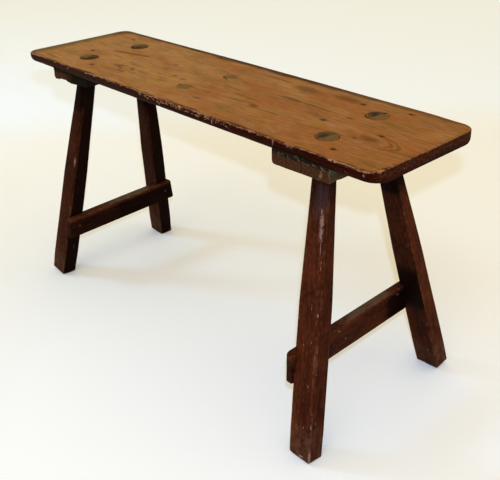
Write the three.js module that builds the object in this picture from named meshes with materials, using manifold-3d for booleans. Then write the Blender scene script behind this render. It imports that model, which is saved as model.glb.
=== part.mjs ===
// A plank-seated kitchen bench, in millimetres: +X along the seat, -Y the front edge, +Z up.
// Origin: on the floor, under the middle of the bench.
// A thin seat board lies on two cross battens. Four hewn legs splay both ways, and each ends in a
// round tenon that passes through its batten and the seat, where a wedge spreads it. A flat
// stretcher is housed and nailed into the inner faces of each pair of legs.

import * as THREE from "three";
import * as BufferGeometryUtils from "three/addons/utils/BufferGeometryUtils.js";
import Module from "manifold-3d";

const wasm = await Module();
wasm.setup();

// Fits and construction allowances
const pieceClearance = 0.3;
const cutterOverrun = 12;
const weldTolerance = 0.0001;
const easeSteps = 4;
const cornerSteps = 5;
const roundSides = 24;

// Seat board: its rear edge was sawn out of parallel with the front one, so that it stands back by
// its skew at the left end and forward by as much at the right. Its front edge is well rounded
// underneath.
const seat = {
  length: 924,
  frontReach: 126.5,
  rearReach: 127,
  rearSkew: 3,
  topHeight: 501,
  thickness: 20.5,
  frontLeftRadius: 20,
  frontRightRadius: 25,
  rearRightRadius: 27,
  rearLeftRadius: 20,
  frontLowerArris: 13.5,
  rearLowerArris: 7,
  endLowerArris: 1.2,
  upperArris: 1.8,
};

// Battens: riven boards laid across, the left one nailed on askew and the right one wider behind.
// Each is placed by the middle of its front end, from the seat's end and front edge.
const battenThickness = 19.5;
const battenCornerRadius = 2.5;
const battenSideArris = 3;
const battenEndArris = 4;
const battenLowerArris = 1.6;
const battens = {
  left: {
    fromEnd: 155.1,
    frontSetback: 4.7,
    rearSetback: 6,
    frontWidth: 106.7,
    rearWidth: 106.7,
    skewDegrees: 5.6,
    waneRadius: 14,
  },
  right: {
    fromEnd: 134,
    frontSetback: 2,
    rearSetback: 2.4,
    frontWidth: 111.5,
    rearWidth: 132,
    skewDegrees: 1.6,
    waneRadius: 8,
  },
};

// A sliver has split off the lower front edge of the left batten
const splitSliver = {
  fromWane: 8,
  length: 45,
  depth: 13,
  height: 4.5,
};

// Legs: nearly rectangular at the foot, shaved to an octagon under the batten
const legFoot = { halfX: 22.1, halfY: 15.7, chamfer: 0.9 };
const legMiddle = { halfX: 22.4, halfY: 16.4, chamfer: 3.6 };
const legShoulder = { halfX: 16.6, halfY: 16.3, chamfer: 9.4 };
const legMiddleShare = 0.5;
const footArris = 2;
const footWear = 2;

// Each leg's axis leaves the seat's top in from its end and its front or rear edge, and reaches
// the floor splayed outwards along X and Y. A foot's extra is how much stouter than the others its
// leg is there, on each side. The cut shares say how far the foot was sawn square to the leg (1)
// instead of flat (0).
const legs = {
  front_left: {
    end: "left",
    edge: "front",
    fromEnd: 140,
    fromEdge: 66,
    splayX: 78,
    splayY: 86.5,
    footExtra: 0.8,
    cutShares: { x: 0.8, y: 0.8 },
    wedgeTurnDegrees: 6,
  },
  front_right: {
    end: "right",
    edge: "front",
    fromEnd: 139.6,
    fromEdge: 65,
    splayX: 79,
    splayY: 117.5,
    footExtra: 0,
    cutShares: { x: 0, y: 0.5 },
    wedgeTurnDegrees: -13,
  },
  rear_left: {
    end: "left",
    edge: "rear",
    fromEnd: 147,
    fromEdge: 68,
    splayX: 82.5,
    splayY: 78.5,
    footExtra: 0.2,
    cutShares: { x: 0.8, y: 0 },
    wedgeTurnDegrees: -4,
  },
  rear_right: {
    end: "right",
    edge: "rear",
    fromEnd: 142.5,
    fromEdge: 63.4,
    splayX: 81.5,
    splayY: 116,
    footExtra: 1.6,
    cutShares: { x: 0.5, y: 0.5 },
    wedgeTurnDegrees: -15,
  },
};

// Round tenons, spread by their wedges into mortises that widen upwards
const tenon = {
  rootRadius: 15.2,
  topRadius: 18,
  rootLength: 10,
  proud: 1.2,
  arris: 0.8,
};
const wedge = {
  depth: 30,
  topThickness: 3.6,
  tipThickness: 1.2,
  sink: 0.5,
};

// Stretchers: flat bars let into the inner faces of the legs, their ends worn round, most on top
const housingDepth = 5.2;
const stretcherWornArris = 3.5;
const stretcherLowerArris = 1.6;
const stretcherEndWear = [
  { back: 0, inset: 1.6, topInset: 5 },
  { back: 1.6, inset: 0, topInset: 2.2 },
  { back: 5, inset: 0, topInset: 0 },
];
const stretchers = {
  left: {
    bottomHeight: 109,
    height: 45.5,
    riseShare: 0.026,
    thickness: 21.5,
    frontProjection: 7.2,
    rearProjection: 4.2,
    endSlopeShare: 0.75,
  },
  right: {
    bottomHeight: 119.5,
    height: 55.5,
    riseShare: 0.02,
    thickness: 17,
    frontProjection: 7.2,
    rearProjection: 7.5,
    endSlopeShare: 0,
  },
};

// Forged nails, each driven until its head is just under the surface
const nail = {
  headRadius: 3.3,
  headHeight: 1.6,
  headDome: 0.7,
  headSink: 0.3,
  shankHalf: 1.5,
  tipHalf: 0.5,
};
const headSides = 8;
const seatNailGrip = 14;
const stretcherNailGrip = 17;

// Seat nails: how far along its batten each one is, from which edge, and how far in from it
const seatNails = {
  left: {
    inner_front: { alongShare: 0.13, edge: "inner", inset: 15 },
    outer_middle: { alongShare: 0.415, edge: "outer", inset: 6 },
    outer_rear: { alongShare: 0.87, edge: "outer", inset: 7.5 },
  },
  right: {
    outer_front: { alongShare: 0.12, edge: "outer", inset: 21.5 },
    inner_middle: { alongShare: 0.464, edge: "inner", inset: 6 },
    outer_middle: { alongShare: 0.476, edge: "outer", inset: 6 },
    inner_rear: { alongShare: 0.873, edge: "inner", inset: 11.5 },
    outer_rear: { alongShare: 0.915, edge: "outer", inset: 32 },
  },
};

// Heights that several pieces share
const seatUnderside = seat.topHeight - seat.thickness;
const battenUnderside = seatUnderside - battenThickness;
const shoulderHeight = battenUnderside - pieceClearance;
const tenonTop = seat.topHeight + tenon.proud;

// Finishes
const wornSeatWood = new THREE.MeshStandardMaterial({ color: 0x9a6136, roughness: 0.5, metalness: 0 });
const oldRedPaint = new THREE.MeshStandardMaterial({ color: 0x3f1c12, roughness: 0.45, metalness: 0 });
const greyBattenWood = new THREE.MeshStandardMaterial({ color: 0x4a382b, roughness: 0.75, metalness: 0 });
const dirtyEndGrain = new THREE.MeshStandardMaterial({ color: 0x5b4a30, roughness: 0.7, metalness: 0 });
const rustyIron = new THREE.MeshStandardMaterial({ color: 0x2f2320, roughness: 0.65, metalness: 0.7 });

// Turns a closed geometry into a solid that can be joined and cut
function solidFrom(geometry) {
  const bare = geometry.clone();
  bare.deleteAttribute("normal");
  bare.deleteAttribute("uv");
  const merged = BufferGeometryUtils.mergeVertices(bare, weldTolerance);
  return new wasm.Manifold(
    new wasm.Mesh({
      numProp: 3,
      vertProperties: merged.attributes.position.array,
      triVerts: new Uint32Array(merged.index.array),
    }),
  );
}

// Turns a joined or cut solid back into a geometry
function geometryFrom(solid) {
  const result = solid.getMesh();
  const geometry = new THREE.BufferGeometry();
  geometry.setAttribute("position", new THREE.BufferAttribute(result.vertProperties, 3));
  geometry.setIndex(new THREE.BufferAttribute(result.triVerts, 1));
  geometry.computeVertexNormals();
  return geometry;
}

// Skins a closed body over convex rings of equal count, anticlockwise as seen from the last one
function loft(rings) {
  const positions = [];
  const triangle = (a, b, c) => positions.push(...a.toArray(), ...b.toArray(), ...c.toArray());
  const count = rings[0].length;
  for (let level = 0; level < rings.length - 1; level++) {
    const near = rings[level];
    const far = rings[level + 1];
    for (let i = 0; i < count; i++) {
      const j = (i + 1) % count;
      triangle(near[i], near[j], far[j]);
      triangle(near[i], far[j], far[i]);
    }
  }
  const first = rings[0];
  const last = rings[rings.length - 1];
  for (let i = 1; i < count - 1; i++) {
    triangle(first[0], first[i + 1], first[i]);
    triangle(last[0], last[i], last[i + 1]);
  }
  const geometry = new THREE.BufferGeometry();
  geometry.setAttribute("position", new THREE.Float32BufferAttribute(positions, 3));
  geometry.computeVertexNormals();
  return geometry;
}

// Moves each side of an anticlockwise convex polygon inwards by its own inset
function insetPolygon(corners, insets) {
  const sides = corners.map((corner, i) => {
    const next = corners[(i + 1) % corners.length];
    const along = next.clone().sub(corner).normalize();
    const inward = new THREE.Vector2(-along.y, along.x);
    return { point: corner.clone().addScaledVector(inward, insets[i]), along };
  });
  return corners.map((_, i) => {
    const before = sides[(i + sides.length - 1) % sides.length];
    const after = sides[i];
    const between = after.point.clone().sub(before.point);
    const distance = between.cross(after.along) / before.along.cross(after.along);
    return before.point.clone().addScaledVector(before.along, distance);
  });
}

// Rounds each corner of an anticlockwise convex polygon with an arc of its own radius
function roundedPolygon(corners, radii) {
  return corners.flatMap((corner, i) => {
    const before = corners[(i + corners.length - 1) % corners.length];
    const after = corners[(i + 1) % corners.length];
    const toBefore = before.clone().sub(corner).normalize();
    const toAfter = after.clone().sub(corner).normalize();
    const halfAngle = Math.acos(toBefore.dot(toAfter)) / 2;
    const bisector = toBefore.clone().add(toAfter).normalize();
    const centre = corner.clone().addScaledVector(bisector, radii[i] / Math.sin(halfAngle));
    const start = corner.clone().addScaledVector(toBefore, radii[i] / Math.tan(halfAngle)).sub(centre);
    const turn = Math.PI - 2 * halfAngle;
    return Array.from({ length: cornerSteps + 1 }, (_, step) =>
      start.clone().rotateAround(new THREE.Vector2(), (turn * step) / cornerSteps).add(centre),
    );
  });
}

// How far a quarter-round arris stands in from its side, at a height above the face it runs into
function arrisInset(radius, height) {
  if (height >= radius) return 0;
  return radius - Math.sqrt(radius ** 2 - (radius - height) ** 2);
}

// Heights at which a quarter round is sampled, from its face up to its full radius
function arrisHeights(radius) {
  return Array.from({ length: easeSteps + 1 }, (_, step) => {
    const angle = (Math.PI / 2) * (step / easeSteps);
    return radius * (1 - Math.cos(angle));
  });
}

// A board with a convex outline, whose four sides each have their own lower and upper arris
function easedBoard({ corners, radii, bottom, top, lowerArris, upperArris }) {
  const ringAt = (z, insets) =>
    roundedPolygon(insetPolygon(corners, insets), radii).map((p) => new THREE.Vector3(p.x, p.y, z));
  const lower = arrisHeights(Math.max(...lowerArris)).map((height) =>
    ringAt(bottom + height, lowerArris.map((radius) => arrisInset(radius, height))),
  );
  const upper = arrisHeights(Math.max(...upperArris)).map((height) =>
    ringAt(top - height, upperArris.map((radius) => arrisInset(radius, height))),
  );
  return loft([...lower, ...upper.reverse()]);
}

// Which way along X is outwards at the left or right end, and along Y at the front or rear edge
function outwards(side) {
  return side === "left" || side === "front" ? -1 : 1;
}

// A place in plan, measured in from one end of the seat and from its front or rear edge
function seatPlace({ end, edge, fromEnd, fromEdge }) {
  const x = outwards(end) * (seat.length / 2 - fromEnd);
  const rearReach = seat.rearReach - (seat.rearSkew * x) / (seat.length / 2);
  const reach = edge === "front" ? seat.frontReach : rearReach;
  return new THREE.Vector2(x, outwards(edge) * (reach - fromEdge));
}

// How far a leg's axis moves in plan for each unit that it goes down
function legLean(leg) {
  const splay = new THREE.Vector2(outwards(leg.end) * leg.splayX, outwards(leg.edge) * leg.splayY);
  return splay.divideScalar(seat.topHeight);
}

// The axis of a leg at a height
function legAxis(leg, z) {
  const plan = seatPlace(leg).addScaledVector(legLean(leg), seat.topHeight - z);
  return new THREE.Vector3(plan.x, plan.y, z);
}

// A leg's half widths and chamfer at a height: straight below its middle, shaved down above it
function legSection(leg, z) {
  const middleHeight = legMiddleShare * seat.topHeight;
  const below = z < middleHeight;
  const [from, to] = below ? [legFoot, legMiddle] : [legMiddle, legShoulder];
  const start = below ? 0 : middleHeight;
  const end = below ? middleHeight : shoulderHeight;
  const share = (z - start) / (end - start);
  const extra = below ? leg.footExtra * (1 - share) : 0;
  return {
    halfX: THREE.MathUtils.lerp(from.halfX, to.halfX, share) + extra,
    halfY: THREE.MathUtils.lerp(from.halfY, to.halfY, share) + extra,
    chamfer: THREE.MathUtils.lerp(from.chamfer, to.chamfer, share),
  };
}

// The eight corners of a leg in the level plane at a height
function legRing(leg, z) {
  const axis = legAxis(leg, z);
  const { halfX, halfY, chamfer } = legSection(leg, z);
  const flatX = halfX - chamfer;
  const flatY = halfY - chamfer;
  const corners = [
    [flatX, -halfY],
    [halfX, -flatY],
    [halfX, flatY],
    [flatX, halfY],
    [-flatX, halfY],
    [-halfX, flatY],
    [-halfX, -flatY],
    [-flatX, -halfY],
  ];
  return corners.map(([x, y]) => new THREE.Vector3(axis.x + x, axis.y + y, z));
}

// The foot's sawn end: each long edge of the leg is run down to the sloping plane of the cut
function footRings(leg) {
  const floorRing = legRing(leg, 0);
  const middleHeight = legMiddleShare * seat.topHeight;
  const middleRing = legRing(leg, middleHeight);
  const lean = legLean(leg);
  const slope = new THREE.Vector2(lean.x * leg.cutShares.x, lean.y * leg.cutShares.y);
  const axis = legAxis(leg, 0);
  const { halfX, halfY } = legSection(leg, 0);
  const innerX = axis.x - outwards(leg.end) * halfX;
  const innerY = axis.y - outwards(leg.edge) * halfY;
  const cutAt = (lift) =>
    floorRing.map((corner, i) => {
      const along = middleRing[i].clone().sub(corner).divideScalar(middleHeight);
      const rise = slope.x * (corner.x - innerX) + slope.y * (corner.y - innerY) - footWear + lift;
      const height = rise / (1 - slope.x * along.x - slope.y * along.y);
      return corner.clone().addScaledVector(along, height);
    });
  const sole = cutAt(0);
  const centre = sole.reduce((sum, p) => sum.add(p), new THREE.Vector3()).divideScalar(sole.length);
  const inset = sole.map((p) => p.clone().lerp(centre, footArris / halfY));
  return [inset, cutAt(footArris)];
}

// A level section of a round bar that follows a leg's axis, so that it is round square to the axis
function roundRing(leg, z, radius) {
  const axis = legAxis(leg, z);
  const lean = legLean(leg);
  const leanAngle = Math.atan2(lean.y, lean.x);
  const stretch = Math.sqrt(1 + lean.lengthSq());
  return Array.from({ length: roundSides }, (_, i) => {
    const angle = (2 * Math.PI * i) / roundSides;
    const offset = new THREE.Vector2(radius * stretch * Math.cos(angle), radius * Math.sin(angle));
    offset.rotateAround(new THREE.Vector2(), leanAngle);
    return new THREE.Vector3(axis.x + offset.x, axis.y + offset.y, z);
  });
}

// The tenon's radius at a height: even in its root, then widening to the seat's top
function tenonRadius(z) {
  const share = Math.max(0, (z - battenUnderside) / (seat.topHeight - battenUnderside));
  return tenon.rootRadius + share * (tenon.topRadius - tenon.rootRadius);
}

function tenonSolid(leg) {
  const root = shoulderHeight - tenon.rootLength;
  const rim = tenonTop - tenon.arris;
  return solidFrom(
    loft([
      roundRing(leg, root, tenonRadius(root)),
      roundRing(leg, battenUnderside, tenonRadius(battenUnderside)),
      roundRing(leg, rim, tenonRadius(rim)),
      roundRing(leg, tenonTop, tenonRadius(rim) - tenon.arris),
    ]),
  );
}

// The bored and widened hole that a leg's tenon fills, through batten and seat
function mortiseCutter(leg) {
  const bottom = battenUnderside - cutterOverrun;
  const top = seat.topHeight + cutterOverrun;
  return solidFrom(
    loft([
      roundRing(leg, bottom, tenonRadius(bottom) + pieceClearance),
      roundRing(leg, battenUnderside, tenonRadius(battenUnderside) + pieceClearance),
      roundRing(leg, top, tenonRadius(top) + pieceClearance),
    ]),
  );
}

// A tapering block across a tenon, following the leg's axis: the wedge, or the slot that it fills
function wedgeBlock(leg, bottom, top, extra) {
  const tipHeight = seat.topHeight - wedge.depth;
  const turn = THREE.MathUtils.degToRad(leg.wedgeTurnDegrees);
  const halfLength = tenon.topRadius + cutterOverrun;
  const ringAt = (z) => {
    const axis = legAxis(leg, z);
    const share = (z - tipHeight) / (seat.topHeight - tipHeight);
    const half = THREE.MathUtils.lerp(wedge.tipThickness, wedge.topThickness, share) / 2 + extra;
    const corners = [
      [-half, -halfLength],
      [half, -halfLength],
      [half, halfLength],
      [-half, halfLength],
    ];
    return corners.map(([x, y]) => {
      const corner = new THREE.Vector2(x, y).rotateAround(new THREE.Vector2(), turn);
      return new THREE.Vector3(axis.x + corner.x, axis.y + corner.y, z);
    });
  };
  return solidFrom(loft([ringAt(bottom), ringAt(top)]));
}

function wedgeSolid(leg) {
  const block = wedgeBlock(leg, seat.topHeight - wedge.depth, tenonTop - wedge.sink, 0);
  return block.intersect(tenonSolid(leg));
}

function wedgeSlot(leg) {
  const bottom = seat.topHeight - wedge.depth - pieceClearance;
  return wedgeBlock(leg, bottom, tenonTop + cutterOverrun, pieceClearance);
}

// The two legs at one end of the bench, "left" or "right"
function legsAt(end) {
  return { front: legs[`front_${end}`], rear: legs[`rear_${end}`] };
}

// Where a stretcher's two broad faces stand: one in the legs' housings, the other proud of them
function stretcherFaces(end) {
  const bar = stretchers[end];
  const middle = bar.bottomHeight + bar.height / 2;
  const { front, rear } = legsAt(end);
  const axisX = (legAxis(front, middle).x + legAxis(rear, middle).x) / 2;
  const halfX = (legSection(front, middle).halfX + legSection(rear, middle).halfX) / 2;
  const housed = axisX - outwards(end) * (halfX - housingDepth);
  return { middle, housed, open: housed - outwards(end) * bar.thickness };
}

// A stretcher's body. Its rings stand across the bar, and its ends may be sawn to the legs' slope.
function stretcherGeometry(end, extra, overrun) {
  const bar = stretchers[end];
  const { middle, housed, open } = stretcherFaces(end);
  const { front, rear } = legsAt(end);
  const frontFace = legAxis(front, middle).y - legSection(front, middle).halfY;
  const rearFace = legAxis(rear, middle).y + legSection(rear, middle).halfY;
  const frontEnd = frontFace - bar.frontProjection - overrun;
  const rearEnd = rearFace + bar.rearProjection + overrun;
  const lowX = Math.min(housed, open);
  const highX = Math.max(housed, open);
  const bottom = -bar.height / 2;
  const top = bar.height / 2;
  const outline = [
    new THREE.Vector2(bottom, lowX),
    new THREE.Vector2(top, lowX),
    new THREE.Vector2(top, highX),
    new THREE.Vector2(bottom, highX),
  ];
  const radii = [stretcherLowerArris, stretcherWornArris, stretcherWornArris, stretcherLowerArris];
  const ringAt = (face, leg, { inset, topInset }) => {
    const insets = [inset, topInset, inset, inset].map((value) => value - extra);
    const grown = radii.map((radius) => radius + extra);
    const section = roundedPolygon(insetPolygon(outline, insets), grown);
    const slope = -legLean(leg).y * bar.endSlopeShare;
    return section.map((p) => {
      const y = face + slope * p.x;
      return new THREE.Vector3(p.y, y, middle + p.x + bar.riseShare * y);
    });
  };
  const wear = overrun > 0 ? [{ back: 0, inset: 0, topInset: 0 }] : stretcherEndWear;
  const frontRings = wear.map((level) => ringAt(frontEnd + level.back, front, level));
  const rearRings = wear.map((level) => ringAt(rearEnd - level.back, rear, level));
  return loft([...frontRings, ...rearRings.reverse()]);
}

// The legs' housing for a stretcher, cut with the bar's own section and a little room round it
function housingCutter(end) {
  return solidFrom(stretcherGeometry(end, pieceClearance, cutterOverrun));
}

// A forged nail along -Z from the top of its head, or the hole for it
function nailSolid(length, extra, overrun) {
  const square = (half, z) => [
    new THREE.Vector3(-half, -half, z),
    new THREE.Vector3(half, -half, z),
    new THREE.Vector3(half, half, z),
    new THREE.Vector3(-half, half, z),
  ];
  const circle = (radius, z) =>
    Array.from({ length: headSides }, (_, i) => {
      const angle = (2 * Math.PI * (i + 0.5)) / headSides;
      return new THREE.Vector3(radius * Math.cos(angle), radius * Math.sin(angle), z);
    });
  const shank = solidFrom(
    loft([
      square(nail.tipHalf + extra, -length - extra),
      square(nail.shankHalf + extra, -nail.headHeight - extra / 2),
      square(nail.shankHalf + extra, -nail.headHeight / 2),
    ]),
  );
  const headBottom = circle(nail.headRadius + extra, -nail.headHeight - extra);
  const headRings =
    overrun > 0
      ? [headBottom, circle(nail.headRadius + extra, overrun)]
      : [
          headBottom,
          circle(nail.headRadius, -nail.headDome),
          circle(nail.headRadius - nail.headDome, 0),
        ];
  return shank.add(solidFrom(loft(headRings)));
}

// A batten's length along its skew, from just inside the front edge to just inside the rear one
function battenLength(end) {
  const batten = battens[end];
  const place = { end, fromEnd: batten.fromEnd };
  const front = seatPlace({ ...place, edge: "front", fromEdge: batten.frontSetback });
  const rear = seatPlace({ ...place, edge: "rear", fromEdge: batten.rearSetback });
  return (rear.y - front.y) / Math.cos(THREE.MathUtils.degToRad(batten.skewDegrees));
}

// A point in plan, so far along a batten from its front end and so far across from its middle
function battenPoint(end, distance, offset) {
  const { fromEnd, frontSetback, skewDegrees } = battens[end];
  const skew = THREE.MathUtils.degToRad(skewDegrees);
  const along = new THREE.Vector2(-Math.sin(skew), Math.cos(skew));
  const across = new THREE.Vector2(Math.cos(skew), Math.sin(skew));
  const origin = seatPlace({ end, edge: "front", fromEnd, fromEdge: frontSetback });
  return origin.addScaledVector(along, distance).addScaledVector(across, offset);
}

// Where a seat nail stands, in plan
function seatNailPoint(end, place) {
  const batten = battens[end];
  const width = THREE.MathUtils.lerp(batten.frontWidth, batten.rearWidth, place.alongShare);
  const edge = place.edge === "outer" ? outwards(end) : -outwards(end);
  const distance = place.alongShare * battenLength(end);
  return battenPoint(end, distance, edge * (width / 2 - place.inset));
}

// Each seat nail: its name, its length, the end that it is at, and its place
function seatNailList() {
  return Object.entries(seatNails).flatMap(([end, places]) =>
    Object.entries(places).map(([name, place]) => {
      const plan = seatNailPoint(end, place);
      return {
        name: `seat_nail_${end}_${name}`,
        length: seat.thickness + seatNailGrip,
        end,
        matrix: new THREE.Matrix4().makeTranslation(plan.x, plan.y, seat.topHeight - nail.headSink),
      };
    }),
  );
}

// Each stretcher nail: the same, with the leg that it is driven into, turned to point outwards
function stretcherNailList() {
  return Object.entries(stretchers).flatMap(([end, bar]) => {
    const { middle, open } = stretcherFaces(end);
    return Object.entries(legsAt(end)).map(([side, leg]) => {
      const axis = legAxis(leg, middle);
      const turn = new THREE.Matrix4().makeRotationY((-outwards(end) * Math.PI) / 2);
      return {
        name: `stretcher_nail_${side}_${end}`,
        length: bar.thickness + stretcherNailGrip,
        end,
        leg,
        matrix: turn.setPosition(
          open + outwards(end) * nail.headSink,
          axis.y,
          middle + bar.riseShare * axis.y,
        ),
      };
    });
  });
}

function nailHole(item) {
  const hole = geometryFrom(nailSolid(item.length, pieceClearance, cutterOverrun));
  return solidFrom(hole.applyMatrix4(item.matrix));
}

const allSeatNails = seatNailList();
const allStretcherNails = stretcherNailList();

function seatBoard() {
  const left = -seat.length / 2;
  const right = seat.length / 2;
  const blank = solidFrom(
    easedBoard({
      corners: [
        new THREE.Vector2(left, -seat.frontReach),
        new THREE.Vector2(right, -seat.frontReach),
        new THREE.Vector2(right, seat.rearReach - seat.rearSkew),
        new THREE.Vector2(left, seat.rearReach + seat.rearSkew),
      ],
      radii: [seat.frontLeftRadius, seat.frontRightRadius, seat.rearRightRadius, seat.rearLeftRadius],
      bottom: seatUnderside,
      top: seat.topHeight,
      lowerArris: [seat.frontLowerArris, seat.endLowerArris, seat.rearLowerArris, seat.endLowerArris],
      upperArris: [seat.upperArris, seat.upperArris, seat.upperArris, seat.upperArris],
    }),
  );
  const bored = Object.values(legs).reduce((solid, leg) => solid.subtract(mortiseCutter(leg)), blank);
  return allSeatNails.reduce((solid, item) => solid.subtract(nailHole(item)), bored);
}

function battenSolid(end) {
  const batten = battens[end];
  const length = battenLength(end);
  const blank = solidFrom(
    easedBoard({
      corners: [
        battenPoint(end, 0, -batten.frontWidth / 2),
        battenPoint(end, 0, batten.frontWidth / 2),
        battenPoint(end, length, batten.rearWidth / 2),
        battenPoint(end, length, -batten.rearWidth / 2),
      ],
      radii: [battenCornerRadius, battenCornerRadius, battenCornerRadius, battenCornerRadius],
      bottom: battenUnderside,
      top: seatUnderside,
      lowerArris: [battenLowerArris, battenLowerArris, battenLowerArris, batten.waneRadius],
      upperArris: [battenEndArris, battenSideArris, battenEndArris, battenSideArris],
    }),
  );
  const mortised = Object.values(legsAt(end)).reduce(
    (solid, leg) => solid.subtract(mortiseCutter(leg)),
    blank,
  );
  return allSeatNails
    .filter((item) => item.end === end)
    .reduce((solid, item) => solid.subtract(nailHole(item)), mortised);
}

// The missing sliver: a prism that thins away behind the front end and opens below it
function sliverCutter() {
  const start = splitSliver.fromWane - battens.left.frontWidth / 2;
  const end = start + splitSliver.length;
  const ringAt = (offset) => {
    const front = battenPoint("left", -cutterOverrun, offset);
    const back = battenPoint("left", splitSliver.depth, offset);
    const reach = splitSliver.depth + cutterOverrun;
    const frontTop = battenUnderside + (splitSliver.height * reach) / splitSliver.depth;
    return [
      new THREE.Vector3(front.x, front.y, battenUnderside - cutterOverrun),
      new THREE.Vector3(back.x, back.y, battenUnderside - cutterOverrun),
      new THREE.Vector3(back.x, back.y, battenUnderside),
      new THREE.Vector3(front.x, front.y, frontTop),
    ];
  };
  return solidFrom(loft([ringAt(start), ringAt(end)]));
}

function legSolid(leg) {
  const rings = [
    ...footRings(leg),
    legRing(leg, legMiddleShare * seat.topHeight),
    legRing(leg, shoulderHeight),
  ];
  const body = solidFrom(loft(rings)).add(tenonSolid(leg)).subtract(wedgeSlot(leg));
  const housed = body.subtract(housingCutter(leg.end));
  const nailed = allStretcherNails
    .filter((item) => item.leg === leg)
    .reduce((solid, item) => solid.subtract(nailHole(item)), housed);
  const reach = legSection(leg, 0).halfX + cutterOverrun;
  const floor = new THREE.BoxGeometry(2 * reach, 2 * reach, 2 * reach);
  const foot = legAxis(leg, 0);
  floor.translate(foot.x, foot.y, -reach);
  return nailed.subtract(solidFrom(floor));
}

function stretcherSolid(end) {
  const body = solidFrom(stretcherGeometry(end, 0, 0));
  return allStretcherNails
    .filter((item) => item.end === end)
    .reduce((solid, item) => solid.subtract(nailHole(item)), body);
}

function addPiece(group, name, geometry, material) {
  const mesh = new THREE.Mesh(geometry, material.clone());
  mesh.name = name;
  group.add(mesh);
  return mesh;
}

const bench = new THREE.Group();
bench.name = "kitchen_bench";

addPiece(bench, "seat_board", geometryFrom(seatBoard()), wornSeatWood);
addPiece(bench, "batten_left", geometryFrom(battenSolid("left").subtract(sliverCutter())), greyBattenWood);
addPiece(bench, "batten_right", geometryFrom(battenSolid("right")), greyBattenWood);

for (const [place, leg] of Object.entries(legs)) {
  addPiece(bench, `leg_${place}`, geometryFrom(legSolid(leg)), oldRedPaint);
  addPiece(bench, `tenon_wedge_${place}`, geometryFrom(wedgeSolid(leg)), dirtyEndGrain);
}

for (const end of Object.keys(stretchers)) {
  addPiece(bench, `stretcher_${end}`, geometryFrom(stretcherSolid(end)), oldRedPaint);
}

for (const item of [...allSeatNails, ...allStretcherNails]) {
  const mesh = addPiece(bench, item.name, geometryFrom(nailSolid(item.length, 0, 0)), rustyIron);
  mesh.applyMatrix4(item.matrix);
}

export default bench;
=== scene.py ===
"""Looks of an old plank-seated kitchen bench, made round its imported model.

Every piece of the bench is made in millimetres in the frame of the model and delivered in metres.
"""

import logging
import math
from dataclasses import dataclass
from enum import Enum
from typing import Callable, Iterable, Sequence, Union

import bmesh
import bpy
from mathutils import Matrix, Vector, noise


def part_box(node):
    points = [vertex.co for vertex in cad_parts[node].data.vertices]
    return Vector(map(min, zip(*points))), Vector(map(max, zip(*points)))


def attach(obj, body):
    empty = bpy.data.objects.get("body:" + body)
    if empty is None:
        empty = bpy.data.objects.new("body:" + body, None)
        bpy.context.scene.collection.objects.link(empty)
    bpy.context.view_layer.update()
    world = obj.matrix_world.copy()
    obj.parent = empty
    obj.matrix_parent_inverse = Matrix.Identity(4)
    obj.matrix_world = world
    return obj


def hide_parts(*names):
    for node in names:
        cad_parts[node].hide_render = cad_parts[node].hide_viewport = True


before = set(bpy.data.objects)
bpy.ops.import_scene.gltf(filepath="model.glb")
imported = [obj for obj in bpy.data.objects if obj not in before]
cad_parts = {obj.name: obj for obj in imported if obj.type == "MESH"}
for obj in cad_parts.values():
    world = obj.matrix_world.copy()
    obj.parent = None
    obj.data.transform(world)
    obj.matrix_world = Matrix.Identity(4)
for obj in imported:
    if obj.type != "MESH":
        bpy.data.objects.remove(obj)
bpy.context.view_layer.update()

log = logging.getLogger("bench")

MILLIMETRE = 0.001
HALF_LENGTH = 462.0
HALF_DEPTH = 126.0
FRONT_EDGE = -126.5
REAR_EDGE = 127.0
REAR_TAPER = 3.0
FRONT_ARRIS = 13.5
SEAT_TOP = 501.0
SEAT_UNDERSIDE = 480.5
BATTEN_UNDERSIDE = 461.0
SHOULDER = 460.7
TENON_END = SEAT_TOP - 0.4
LEG_MIDDLE = 250.5
CLEARANCE = 0.3
OVERRUN = 12.0

Pair = tuple[float, float]
Triple = tuple[float, float, float]
Sides = tuple[float, float, float, float]
Tone = tuple[float, float, float, float]
Body = bmesh.types.BMesh
Piece = bpy.types.Object
Finish = bpy.types.Material
Ring = list[Vector]
Rule = Callable[[Vector], float]


def table(kind: type, rows: Sequence[Sequence[float]]) -> tuple:
    """Make one thing of a kind from each row of numbers."""
    return tuple(kind(*row) for row in rows)


def tone(red: float, green: float, blue: float) -> Tone:
    """Turn a screen colour, each part from 0 to 255, into the linear colour that sockets take.

    Args:
        red: The red part.
        green: The green part.
        blue: The blue part.

    Returns:
        The linear colour, opaque.
    """
    parts = [value / 255 for value in (red, green, blue)]
    linear = [p / 12.92 if p <= 0.04045 else ((p + 0.055) / 1.055) ** 2.4 for p in parts]
    return (linear[0], linear[1], linear[2], 1.0)


class Slot(Enum):
    """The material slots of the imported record."""

    SEAT = "seat_wood"
    PAINT = "painted_wood"
    BATTEN = "batten_wood"
    IRON = "forged_iron"


def sum_method(operation: str, number_first: bool = False) -> Callable[["Field", "Number"], "Field"]:
    """Make the method behind one of a field's operators.

    Args:
        operation: The Math node's operation.
        number_first: Whether the other value stands in front of the field.

    Returns:
        The method, which takes a field and the other value and adds the node.
    """
    if number_first:
        return lambda one, other: one.mix.maths(operation, other, one)
    return lambda one, other: one.mix.maths(operation, one, other)


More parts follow.
